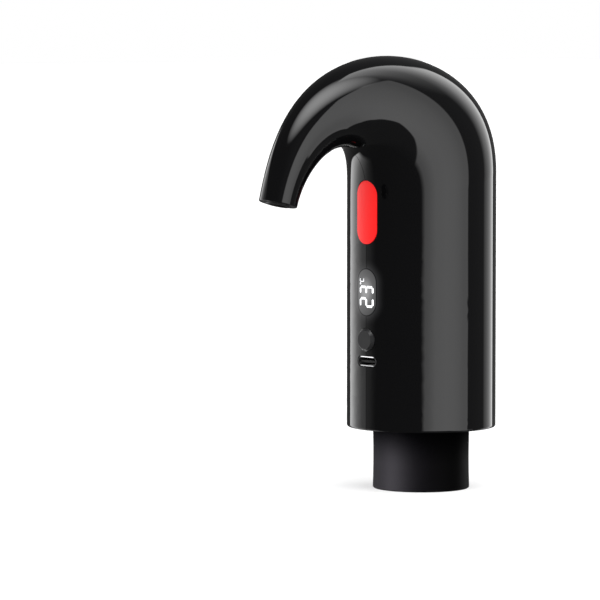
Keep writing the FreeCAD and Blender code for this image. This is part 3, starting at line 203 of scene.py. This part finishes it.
def lightStudio():
    world = bpy.data.worlds.new("studio")
    bpy.context.scene.world = world
    graph = Graph(world)
    towards = graph.add("ShaderNodeTexCoord", None, None, "Generated")
    angle = radians(studio["cameraAzimuth"])
    x, y, up = (towards.part(axis) for axis in range(3))
    front = x * sin(angle) - y * cos(angle)
    side = x * cos(angle) + y * sin(angle)
    turn = graph.maths("ARCTAN2", side, front) * degrees(1)
    rise = graph.maths("ARCSINE", up.held(-1.0, 1.0)) * degrees(1)

    box = studio["softbox"]
    soft = box["soft"]
    across = (turn - box["left"]) / (box["right"] - box["left"])
    foot = across.level(*box["foot"]) * -1
    top = across.level(*box["top"])
    low = ((box["wideFrom"] - rise) / box["wideOver"]).held()  # well below the horizon the softbox is wider
    right = low * (box["lowerRight"] - box["upperRight"]) + box["upperRight"]
    sideways = ((turn - box["left"] + box["lead"]) / soft["left"]).held()
    sideways *= ((right - turn) / soft["right"]).held()
    upright = ((top - rise) / soft["top"]).held() * ((rise - foot) / soft["foot"]).held()
    fade = 1 - (rise / box["fadeOver"]).held() * box["fade"]
    softbox = across.level(*box["tone"]) * sideways * upright * fade

    arch = studio["arch"]
    height = up.held()  # below the horizon the map runs straight down
    outwards = graph.maths("SQRT", side * side + front * front) + studio["tiny"]
    shrink = outwards * (1 + height) / (1 - height * height + studio["tiny"]) ** 0.5
    mapX = side / shrink
    mapY = front / shrink * -1
    depth = (mapX - mapY.ramp(*arch["edge"])) / mapY.ramp(*arch["reach"])
    starts = (depth * arch["crisp"]).held() * ((mapY - arch["near"]) * arch["nearCrisp"]).held()
    band = depth.level(*arch["tone"]) * starts
    glow = arch["glow"]
    offX = (mapX - glow["middle"][0]) / glow["reach"][0]
    offY = (mapY - glow["middle"][1]) / glow["reach"][1]
    glowLight = (1 - offX * offX - offY * offY).held() * glow["bright"]
    archLight = graph.maths("MAXIMUM", band, glowLight) * ((up - arch["lowest"]) * arch["lowestCrisp"]).held()

    strip = studio["strip"]
    length = (turn - strip["from"]) / (strip["to"] - strip["from"])
    ends = (length * strip["crisp"]).held() * ((1 - length) * strip["crisp"]).held()
    heights = ((strip["top"] - rise) / strip["topSoft"]).held()
    heights *= ((rise - strip["foot"]) / strip["footSoft"]).held()
    stripLight = length.level(*strip["tone"]) * ends * heights

    # the soft fill lifts matt surfaces only, so that the gloss keeps its dark zones
    seen = graph.add("ShaderNodeLightPath", None, None, "Is Camera Ray")
    glossy = graph.add("ShaderNodeLightPath", None, None, "Is Glossy Ray")
    surround = ((mapX + 1) * 0.5).ramp(*studio["surround"])
    total = softbox + archLight + stripLight + surround + (1 - glossy) * studio["fill"]
    shine = graph.add("ShaderNodeBackground", None, {"Color": white, "Strength": total})
    paper = graph.add("ShaderNodeBackground", None, {"Color": white, "Strength": 1.0})
    graph.finish(graph.overlay(seen, shine, paper), "ShaderNodeOutputWorld")
    print("studio lit")


lightStudio()

# a soft lamp on the left that lights the collar alone, which hangs in the body's shade
collarLamp = {"azimuth": -23, "distance": 0.56, "height": 0.2, "aim": -0.01, "size": 0.5, "power": 60.0,
              "tone": (1.0, 0.95, 1.05)}


def lightCollar():
    lamp = bpy.data.objects.new("collar_lamp", bpy.data.lights.new("collar_lamp", "AREA"))
    angle = radians(collarLamp["azimuth"])
    reach = collarLamp["distance"]
    lamp.location = (sin(angle) * reach, -cos(angle) * reach, collarLamp["height"])
    towards = Vector((0, 0, collarLamp["aim"])) - lamp.location
    lamp.rotation_euler = towards.to_track_quat("-Z", "Y").to_euler()
    lamp.data.size = collarLamp["size"]
    lamp.data.energy = collarLamp["power"]
    lamp.data.color = collarLamp["tone"]
    bpy.context.scene.collection.objects.link(lamp)
    lit = bpy.data.collections.new("collar_only")
    lit.objects.link(nodes["stopper_skirt"])
    lamp.light_linking.receiver_collection = lit
    print("collar lit")


lightCollar()

# pale floor: white to the camera and open to other rays, so that only the object's soft shadow shows on it
paleFloor = {"height": -15.0, "size": 20.0, "tone": 0.45, "glow": 0.55}


def layFloor():
    half = paleFloor["size"] / 2
    height = paleFloor["height"] * mm
    sheet = bpy.data.meshes.new("floor")
    corners = [(x * half, y * half, height) for x, y in ((-1, -1), (1, -1), (1, 1), (-1, 1))]
    sheet.from_pydata(corners, [], [(0, 1, 2, 3)])
    floor = bpy.data.objects.new("floor", sheet)
    bpy.context.scene.collection.objects.link(floor)
    material, graph = newFinish("paleFloor")
    tone = paleFloor["tone"]
    matt = graph.surface(Base_Color=rgb(tone, tone, tone), Roughness=1.0, Specular_IOR_Level=0.0,
                         Emission_Color=white, Emission_Strength=paleFloor["glow"])
    seen = graph.add("ShaderNodeLightPath", None, None, "Is Camera Ray")
    graph.finish(graph.overlay(seen, graph.add("ShaderNodeBsdfTransparent"), matt))
    sheet.materials.append(material)
    print("floor laid")


layFloor()

# the curves that draw the housing's skin, as in the CAD, in reach and height above the body's foot
skin = {
    "foot": 5.7, "radius": 25.0, "tip": (63.7, 76.4), "tilt": 14.5, "tipRadius": 6.35, "degree": 5,
    "front": [(25.0, 74.3), (25.0, 86.5), (25.7, 83.0), (28.0, 110.5)], "innerPull": 17.6,
    "back": [(-25.0, 87.3), (-25.0, 124.8), (7.4, 134.1), (55.6, 130.8)], "outerPull": 24.0,
    "width": (25.0, 25.0, 16.0, 8.55, 6.35, 6.35), "steps": 260, "near": 0.06, "agree": 0.9, "unmet": 9.0,
}


def atTip(back, across):
    lean, tip = radians(skin["tilt"]), skin["tip"]
    return (tip[0] - sin(lean) * back + cos(lean) * across, tip[1] + cos(lean) * back + sin(lean) * across)


def curve(points, t, slope=False):
    points = np.array(points, float).reshape(skin["degree"] + 1, -1)
    if slope:
        points = (points[1:] - points[:-1]) * skin["degree"]
    last = len(points) - 1
    return sum(comb(last, i) * (t ** i * (1 - t) ** (last - i))[:, None] * points[i] for i in range(last + 1))


def skinCurves():
    # the middle of each oval section, and half of its chord
    edge = skin["tipRadius"]
    front = np.array(skin["front"] + [atTip(skin["innerPull"], -edge), atTip(0, -edge)])
    back = np.array(skin["back"] + [atTip(skin["outerPull"], edge), atTip(0, edge)])
    return (front + back) / 2, (back - front) / 2


def skinNormals(spots):
    # the skin's own direction at points in millimetres, and how far each point lies off it
    middles, halves = skinCurves()
    t = np.linspace(0, 1, skin["steps"])
    middle, half, width = curve(middles, t), curve(halves, t), curve(skin["width"], t)[:, 0]
    flat = np.stack([-spots[:, 1], spots[:, 2] - skin["foot"]], 1)
    away = flat[:, None] - middle
    lean = away[..., 0] * half[:, 1] - away[..., 1] * half[:, 0]
    along = (away * half).sum(2) / (half ** 2).sum(1)
    off = np.abs(np.hypot(along, spots[:, :1] / width) - 1)
    crossed = lean[:, :-1] * lean[:, 1:] <= 0
    best = np.where(crossed, np.minimum(off[:, :-1], off[:, 1:]), skin["unmet"]).argmin(1)
    rows = np.arange(len(spots))
    here, after = lean[rows, best], lean[rows, best + 1]
    share = here / np.where(here == after, 1, here - after)
    t = (best + share.clip(0, 1)) / (skin["steps"] - 1)

    middle, half, width = curve(middles, t), curve(halves, t), curve(skin["width"], t)[:, 0]
    c = ((flat - middle) * half).sum(1) / (half ** 2).sum(1)
    s = spots[:, 0] / width
    size = np.hypot(c, s)
    off = np.abs(size - 1) * width
    c, s = c / size, s / size
    turnMiddle, turnHalf = curve(middles, t, True), curve(halves, t, True)
    turnWidth = curve(skin["width"], t, True)[:, 0]
    forward = np.stack([s * turnWidth, -(turnMiddle[:, 0] + turnHalf[:, 0] * c),
                        turnMiddle[:, 1] + turnHalf[:, 1] * c], 1)
    around = np.stack([c * width, half[:, 0] * s, -half[:, 1] * s], 1)
    outward = np.stack([s * width, -half[:, 0] * c, half[:, 1] * c], 1)
    normals = np.cross(forward, around)
    normals *= np.sign((normals * outward).sum(1))[:, None]

    straight = ~crossed.any(1)  # below the neck the body is a plain round
    normals[straight] = (spots * (1, 1, 0))[straight]
    off[straight] = np.abs(np.hypot(spots[:, 0], spots[:, 1]) - skin["radius"])[straight]
    return normals / np.linalg.norm(normals, axis=1)[:, None], off


def shadeShell():
    # the shell's shading follows the drawn skin, so that reflections run true; no point of the mesh moves
    for name in ("left_housing", "right_housing"):
        mesh = nodes[name].data
        spots = np.empty(len(mesh.vertices) * 3)
        mesh.vertices.foreach_get("co", spots)
        spots = spots.reshape(-1, 3) / mm
        normals, off = skinNormals(spots)
        corners = np.empty(len(mesh.loops) * 3, np.float32)
        mesh.corner_normals.foreach_get("vector", corners)
        corners = corners.reshape(-1, 3).astype(float)
        vertex = np.empty(len(mesh.loops), np.int32)
        mesh.loops.foreach_get("vertex_index", vertex)
        faces = np.empty(len(mesh.polygons) * 3)
        mesh.polygons.foreach_get("normal", faces)
        counts = np.empty(len(mesh.polygons), np.int32)
        mesh.polygons.foreach_get("loop_total", counts)
        facing = np.repeat(faces.reshape(-1, 3), counts, axis=0)
        onSkin = (off[vertex] < skin["near"]) & ((facing * normals[vertex]).sum(1) > skin["agree"])
        corners[onSkin] = normals[vertex][onSkin]
        mesh.normals_split_custom_set(corners.tolist())
        print(name, "shading follows the skin at", int(onSkin.sum()), "corners")


shadeShell()

# gloss black shell, its two halves meeting on the front and back centre lines
shell = {"tone": (0.0022, 0.0022, 0.0025), "ior": 1.5, "roughness": 0.03, "smear": 0.03, "smearSize": 9.0,
         "peel": 0.9, "peelDepth": 0.00002, "seamHalf": 0.07, "seamSoft": 0.03,
         "seamTone": (0.001, 0.001, 0.001), "seamRoughness": 0.9, "seamShine": 0.05,
         "spill": (0.028, 0.028, 0.029), "spillReach": 3.4, "spillFront": 5}

# smoked window over the display: a pill with a painted glow behind the figures and a thin dark outline
pane = {"tone": (0.006, 0.006, 0.007), "roughness": 0.05, "speckle": 0.04, "speckleSize": 0.4,
        "middle": 51.8, "halfLength": 3.3, "radius": 4.65, "outline": 0.2, "soft": 0.25,
        "brightest": (-0.3, 52.2), "reach": (7.5, 10.0), "glow": (0.99, 0.99, 1.0),
        "glowFade": ((0.0, 0.34), (0.2, 0.3), (0.35, 0.2), (0.5, 0.115), (0.7, 0.085), (1.0, 0.05))}


def windowGap(graph, place):
    # millimetres outside the window's outline, less than nothing within it
    past = graph.maths("MAXIMUM", abs(place.part(2) / mm - pane["middle"]) - pane["halfLength"], 0.0)
    across = place.part(0) / mm
    return (across * across + past * past) ** 0.5 - pane["radius"]


def finishShell():
    material, graph = newFinish("glossBlackShell")
    place = graph.place()
    fromSeam = abs(place.part(0)) / mm
    seam = ((shell["seamHalf"] + shell["seamSoft"] - fromSeam) / shell["seamSoft"]).held()
    smear = graph.grain(shell["smearSize"], 4.0)
    peel = graph.grain(shell["peel"], 1.0)
    # the lit window spills a little light on the shell round it, on the front only
    inFront = (place.part(1) / mm * -1 - shell["spillFront"]).held()
    spill = (1 - windowGap(graph, place) / shell["spillReach"]).held() ** 2 * inFront
    gloss = graph.surface(Base_Color=rgb(*shell["tone"]), IOR=shell["ior"],
                          Roughness=smear * shell["smear"] + shell["roughness"],
                          Normal=graph.bump(peel, shell["peelDepth"]), Emission_Strength=1.0,
                          Emission_Color=graph.blend(spill, black, rgb(*shell["spill"])))
    groove = graph.surface(Base_Color=rgb(*shell["seamTone"]), Roughness=shell["seamRoughness"],
                           Specular_IOR_Level=shell["seamShine"])
    graph.finish(graph.overlay(seam, gloss, groove))
    dress(material, "left_housing", "right_housing")
    print("shell finished")


finishShell()


def finishWindow():
    material, graph = newFinish("smokedWindow")
    place = graph.place()
    # painted glow: the window itself glows, brightest near the figures and fading outwards
    across = (place.part(0) / mm - pane["brightest"][0]) / pane["reach"][0]
    along = (place.part(2) / mm - pane["brightest"][1]) / pane["reach"][1]
    far = (across * across + along * along) ** 0.5
    inside = ((windowGap(graph, place) + pane["outline"]) * -1 / pane["soft"]).held()
    glowFade = far.ramp(*pane["glowFade"]) * inside
    speckle = graph.grain(pane["speckleSize"], 2.0)
    graph.finish(graph.surface(Base_Color=rgb(*pane["tone"]),
                               Roughness=speckle * pane["speckle"] + pane["roughness"],
                               Emission_Color=graph.blend(glowFade, black, rgb(*pane["glow"])),
                               Emission_Strength=1.0))
    dress(material, "display_window")
    print("window finished")


finishWindow()

# soft rubber of the collar and the plug; the collar darkens towards its top, in the shade of the wider body
rubber = {"tone": (0.0004, 0.0004, 0.0005), "light": (0.0008, 0.0007, 0.0009), "ior": 1.1,
          "roughness": 0.5, "spread": 0.1, "patch": 6.0, "grain": 0.22, "depth": 0.012,
          "shadeFoot": -6.0, "shadeHeight": 12.0, "shadeRoughness": 0.9,
          "shade": ((0.0, 0.0), (0.225, 0.2), (0.64, 0.7), (0.83, 0.84), (1.0, 0.9)),
          "shadeTone": (0.0005, 0.0005, 0.0006)}


def finishRubber():
    material, graph = newFinish("softBlackRubber")
    fine = graph.grain(rubber["grain"], 3.0)
    broad = graph.grain(rubber["patch"], 3.0)
    soft = graph.surface(Base_Color=graph.blend(broad, rgb(*rubber["tone"]), rgb(*rubber["light"])),
                         Roughness=broad * rubber["spread"] + rubber["roughness"], IOR=rubber["ior"],
                         Normal=graph.bump(fine, rubber["depth"]))
    height = (graph.place().part(2) / mm - rubber["shadeFoot"]) / rubber["shadeHeight"]
    shaded = graph.surface(Base_Color=rgb(*rubber["shadeTone"]), Roughness=rubber["shadeRoughness"],
                           Specular_IOR_Level=0.0)
    graph.finish(graph.overlay(height.ramp(*rubber["shade"]), soft, shaded))
    dress(material, "stopper_skirt", "stopper_plug")
    print("rubber finished")


finishRubber()

# moulded plastics: a fine spark grain, and a tone that drifts a little
drift = {"darker": 0.82, "lighter": 1.15, "size": 5.0, "spread": 0.12}
plastics = {
    "blackPlastic": {"tone": (0.012, 0.012, 0.013), "roughness": 0.42, "grain": 0.3, "depth": 0.01,
                     "nodes": ("base_cover", "nozzle", "stopper_core")},
    "greyButton": {"tone": (0.020, 0.020, 0.021), "roughness": 0.3, "grain": 0.18, "depth": 0.006,
                   "nodes": ("mode_button",)},
    "switchPlastic": {"tone": (0.010, 0.010, 0.010), "roughness": 0.5, "grain": 0.3, "depth": 0.008,
                      "nodes": ("pour_switch", "mode_switch", "socket_tongue", "release_valve")},
    "stemPlastic": {"tone": (0.62, 0.62, 0.60), "roughness": 0.4, "grain": 0.3, "depth": 0.006,
                    "nodes": ("pour_switch_stem", "mode_switch_stem", "pump_crank")},
    "displayPlastic": {"tone": (0.04, 0.04, 0.045), "roughness": 0.5, "grain": 0.3, "depth": 0.006,
                       "nodes": ("display_module",)},
    "framePlastic": {"tone": (0.07, 0.07, 0.075), "roughness": 0.55, "grain": 0.35, "depth": 0.012,
                     "nodes": ("inner_frame",)},
    "pumpPlastic": {"tone": (0.70, 0.70, 0.68), "roughness": 0.5, "grain": 0.35, "depth": 0.01,
                    "nodes": ("pump_valve_cap", "pump_housing")},
    "pumpRubber": {"tone": (0.025, 0.025, 0.025), "roughness": 0.65, "grain": 0.25, "depth": 0.01,
                   "nodes": ("pump_diaphragm",)},
    "sealRubber": {"tone": (0.03, 0.03, 0.03), "roughness": 0.6, "grain": 0.2, "depth": 0.006,
                   "nodes": ("core_ring",)},
    "clearTube": {"tone": (0.72, 0.72, 0.70), "roughness": 0.3, "grain": 1.2, "depth": 0.01,
                  "nodes": ("air_tube", "wine_tube")},
}


def scaled(tone, share):
    return rgb(*(part * share for part in tone))


def finishPlastics():
    for name, look in plastics.items():
        material, graph = newFinish(name)
        fine = graph.grain(look["grain"], 2.0)
        broad = graph.grain(drift["size"], 3.0)
        darker, lighter = scaled(look["tone"], drift["darker"]), scaled(look["tone"], drift["lighter"])
        least = look["roughness"] - drift["spread"] / 2
        graph.finish(graph.surface(Base_Color=graph.blend(broad, darker, lighter),
                                   Roughness=broad * drift["spread"] + least,
                                   Normal=graph.bump(fine, look["depth"])))
        dress(material, *look["nodes"])
    print("plastics finished:", len(plastics))


finishPlastics()

# metals: brushing along one axis, and a roughness that follows it
brushing = {"darker": 0.85, "spread": 0.16, "depth": 0.002}
metals = {
    "screwSteel": {"tone": (0.52, 0.52, 0.54), "roughness": 0.3, "brush": (0.3, 0.3, 0.05),
                   "nodes": ("base_screws", "board_screws", "motor_shaft", "release_plunger")},
    "motorSteel": {"tone": (0.56, 0.56, 0.58), "roughness": 0.35, "brush": (2.5, 2.5, 0.06),
                   "nodes": ("pump_motor",)},
    "sensorCopper": {"tone": (0.75, 0.42, 0.24), "roughness": 0.35, "brush": (1.5, 1.5, 0.08),
                     "nodes": ("temperature_sensor",)},
}


def finishMetals():
    for name, look in metals.items():
        material, graph = newFinish(name)
        stretched = graph.add("ShaderNodeMapping", None,
                              {"Vector": graph.place(), "Scale": tuple(1 / part for part in look["brush"])})
        lines = graph.grain(1.0, 2.0, stretched)
        tone = graph.blend(lines, scaled(look["tone"], brushing["darker"]), rgb(*look["tone"]))
        least = look["roughness"] - brushing["spread"] / 2
        graph.finish(graph.surface(Base_Color=tone, Metallic=1.0,
                                   Roughness=lines * brushing["spread"] + least,
                                   Normal=graph.bump(lines, brushing["depth"])))
        dress(material, *look["nodes"])
    print("metals finished:", len(metals))


finishMetals()

# the socket's rim: bright along its straight sides, with painted shade darkening its round ends and a painted
# glint on the upper lip
socket = {"tone": (0.95, 0.95, 0.96), "dark": (0.05, 0.05, 0.052), "straight": 2.7, "fade": 0.7,
          "roughness": 0.3, "spread": 0.2, "wearSize": 0.5, "depth": 0.002, "metal": 0.3,
          "lip": -24.35, "lipCrisp": 8, "middle": 28.8, "middleCrisp": 4, "glint": (0.75, 0.75, 0.76)}


def finishSocket():
    material, graph = newFinish("socketSteel")
    place = graph.place()
    # painted shade: the rim's colour turns dark round its ends
    ends = ((abs(place.part(0)) / mm - socket["straight"]) / socket["fade"]).held()
    wear = graph.grain(socket["wearSize"], 3.0, place)
    # painted glint: the upper lip glows a little, standing in for a highlight
    upper = ((place.part(2) / mm - socket["middle"]) * socket["middleCrisp"]).held()
    lip = ((socket["lip"] - place.part(1) / mm) * socket["lipCrisp"]).held()
    glint = graph.blend(upper * lip * (1 - ends), black, rgb(*socket["glint"]))
    graph.finish(graph.surface(Base_Color=graph.blend(ends, rgb(*socket["tone"]), rgb(*socket["dark"])),
                               Metallic=socket["metal"],
                               Roughness=wear * socket["spread"] + socket["roughness"],
                               Normal=graph.bump(wear, socket["depth"]),
                               Emission_Color=glint, Emission_Strength=1.0))
    dress(material, "socket_shell")
    print("socket finished")


finishSocket()

# the board's green laminate with its tracks, and the cell's blue wrap with a bare top
board = {"tone": (0.012, 0.10, 0.045), "track": (0.03, 0.20, 0.09), "trackSize": 2.6, "trackTurns": 9,
         "trackFrom": 0.72, "trackCrisp": 8, "weave": 0.8, "roughness": 0.3, "spread": 0.15, "depth": 0.01}
cell = {"tone": (0.02, 0.12, 0.42), "bare": (0.6, 0.6, 0.6), "bareFrom": 70.6, "bareCrisp": 6, "crinkle": 4.0,
        "roughness": 0.2, "spread": 0.2, "depth": 0.03}


def finishBoardAndCell():
    material, graph = newFinish("boardLaminate")
    weave = graph.grain(board["weave"], 3.0)
    tracks = graph.maths("PINGPONG", graph.grain(board["trackSize"], 1.0) * board["trackTurns"], 1.0)
    copper = ((tracks - board["trackFrom"]) * board["trackCrisp"]).held()
    graph.finish(graph.surface(Base_Color=graph.blend(copper, rgb(*board["tone"]), rgb(*board["track"])),
                               Roughness=weave * board["spread"] + board["roughness"],
                               Normal=graph.bump(weave + copper, board["depth"])))
    dress(material, "main_board")
    material, graph = newFinish("cellWrap")
    crinkle = graph.grain(cell["crinkle"], 4.0)
    bare = ((graph.place().part(2) / mm - cell["bareFrom"]) * cell["bareCrisp"]).held()
    graph.finish(graph.surface(Base_Color=graph.blend(bare, rgb(*cell["tone"]), rgb(*cell["bare"])),
                               Metallic=bare, Roughness=crinkle * cell["spread"] + cell["roughness"],
                               Normal=graph.bump(crinkle, cell["depth"])))
    dress(material, "battery_cell")
    print("board and cell finished")


finishBoardAndCell()

# the pour button: clear red, a little brighter towards its edges
pour = {"tone": (0.93, 0.004, 0.004), "edge": (0.96, 0.014, 0.015), "edgeFrom": 0.7, "edgeCrisp": 3,
        "glow": (0.9, 0.003, 0.003), "strength": 0.35, "roughness": 0.32, "spread": 0.08, "patch": 5.0,
        "grain": 0.25, "depth": 0.003}


def finishPourButton():
    material, graph = newFinish("redButton")
    low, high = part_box("pour_button")
    halfWidth = (high.x - low.x) / 2
    across = abs(graph.place().part(0) / halfWidth)
    rim = ((across - pour["edgeFrom"]) * pour["edgeCrisp"]).held()
    broad = graph.grain(pour["patch"], 2.0)
    fine = graph.grain(pour["grain"], 2.0)
    graph.finish(graph.surface(Base_Color=graph.blend(rim, rgb(*pour["tone"]), rgb(*pour["edge"])),
                               Roughness=broad * pour["spread"] + pour["roughness"],
                               Normal=graph.bump(fine, pour["depth"]),
                               Emission_Color=rgb(*pour["glow"]), Emission_Strength=pour["strength"]))
    dress(material, "pour_button")
    nodes["pour_button"].visible_glossy = False  # the gloss under the spout shows no red
    print("pour button finished")


finishPourButton()

# display: two figures and a small degree sign with its letter, lit through the smoked window.
# They read along Z with their tops towards -X, and a bar's letter is its place in a seven bar figure.
display = {
    "radius": 25.02, "thick": 0.02, "stroke": 0.78, "gap": 0.13, "point": 0.8,
    "figures": ({"bars": "abged", "low": 46.75, "high": 50.15},
                {"bars": "abgcd", "low": 50.95, "high": 53.95}),
    "bottom": 3.45, "top": -3.3,
    "degree": {"middle": (54.65, -2.9), "radius": 0.36, "stroke": 0.2, "sides": 18},
    "scale": {"low": 55.35, "high": 56.35, "bottom": -1.2, "top": -3.1, "stroke": 0.26},
    "tone": (0.8, 0.82, 0.84), "glow": (0.93, 0.97, 1.0), "glowGrain": 0.3, "strength": 1.0,
    "roughness": 0.4,
}


def onWindow(along, across, radius):
    # a point of the display: along is height, across is sideways on the round front, both in millimetres
    turn = across / radius
    return Vector((sin(turn) * radius, -cos(turn) * radius, along)) * mm


def drawBar(mesh, start, end, stroke):
    # one lit bar with pointed ends, wrapped on the window
    run = Vector((end[0] - start[0], end[1] - start[1]))
    length = run.length
    run.normalize()
    away = Vector((-run.y, run.x))
    half = stroke / 2
    point = half * display["point"]
    shape = [(0, 0), (point, half), (length - point, half),
             (length, 0), (length - point, -half), (point, -half)]
    layers = []
    for lift in (0.0, display["thick"]):
        ring = []
        for forward, out in shape:
            along = start[0] + run.x * forward + away.x * out
            across = start[1] + run.y * forward + away.y * out
            ring.append(mesh.verts.new(onWindow(along, across, display["radius"] + lift)))
        layers.append(ring)
    mesh.faces.new(layers[1])
    mesh.faces.new(layers[0][::-1])
    for index in range(len(shape)):
        after = (index + 1) % len(shape)
        mesh.faces.new((layers[0][index], layers[0][after], layers[1][after], layers[1][index]))


def drawFigures(mesh):
    stroke, gap = display["stroke"], display["gap"]
    foot, head = display["bottom"] - stroke / 2, display["top"] + stroke / 2
    middle = (foot + head) / 2
    for figure in display["figures"]:
        left = figure["low"] + stroke / 2
        right = figure["high"] - stroke / 2
        ends = {"a": ((left, head), (right, head)), "b": ((right, head), (right, middle)),
                "c": ((right, middle), (right, foot)), "d": ((left, foot), (right, foot)),
                "e": ((left, middle), (left, foot)), "g": ((left, middle), (right, middle))}
        for bar in figure["bars"]:
            (startAlong, startAcross), (endAlong, endAcross) = ends[bar]
            run = Vector((endAlong - startAlong, endAcross - startAcross)).normalized() * gap
            drawBar(mesh, (startAlong + run.x, startAcross + run.y),
                    (endAlong - run.x, endAcross - run.y), stroke)


def drawDegreeSign(mesh):
    scale = display["scale"]
    for start, end in (((scale["high"], scale["top"]), (scale["low"], scale["top"])),
                       ((scale["low"], scale["top"]), (scale["low"], scale["bottom"])),
                       ((scale["low"], scale["bottom"]), (scale["high"], scale["bottom"]))):
        drawBar(mesh, start, end, scale["stroke"])
    degree = display["degree"]
    sides = degree["sides"]
    along, across = degree["middle"]
    rings = []
    for size in (degree["radius"], degree["radius"] - degree["stroke"]):
        turns = [radians(360 * index / sides) for index in range(sides)]
        rings.append([mesh.verts.new(onWindow(along + size * cos(turn), across + size * sin(turn),
                                              display["radius"] + display["thick"])) for turn in turns])
    for index in range(sides):
        after = (index + 1) % sides
        mesh.faces.new((rings[0][index], rings[0][after], rings[1][after], rings[1][index]))


def drawDisplay():
    mesh = bmesh.new()
    drawFigures(mesh)
    drawDegreeSign(mesh)
    data = bpy.data.meshes.new("display_figures")
    bmesh.ops.recalc_face_normals(mesh, faces=mesh.faces)
    mesh.to_mesh(data)
    mesh.free()
    figures = bpy.data.objects.new("display_figures", data)
    bpy.context.scene.collection.objects.link(figures)
    material, graph = newFinish("litFigures")
    glow = graph.blend(graph.grain(display["glowGrain"], 1.0), rgb(*display["glow"]), white)
    graph.finish(graph.surface(Base_Color=rgb(*display["tone"]), Roughness=display["roughness"],
                               Emission_Color=glow, Emission_Strength=display["strength"]))
    data.materials.append(material)
    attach(figures, "dispenser")
    print("display drawn:", len(data.polygons), "faces")


drawDisplay()
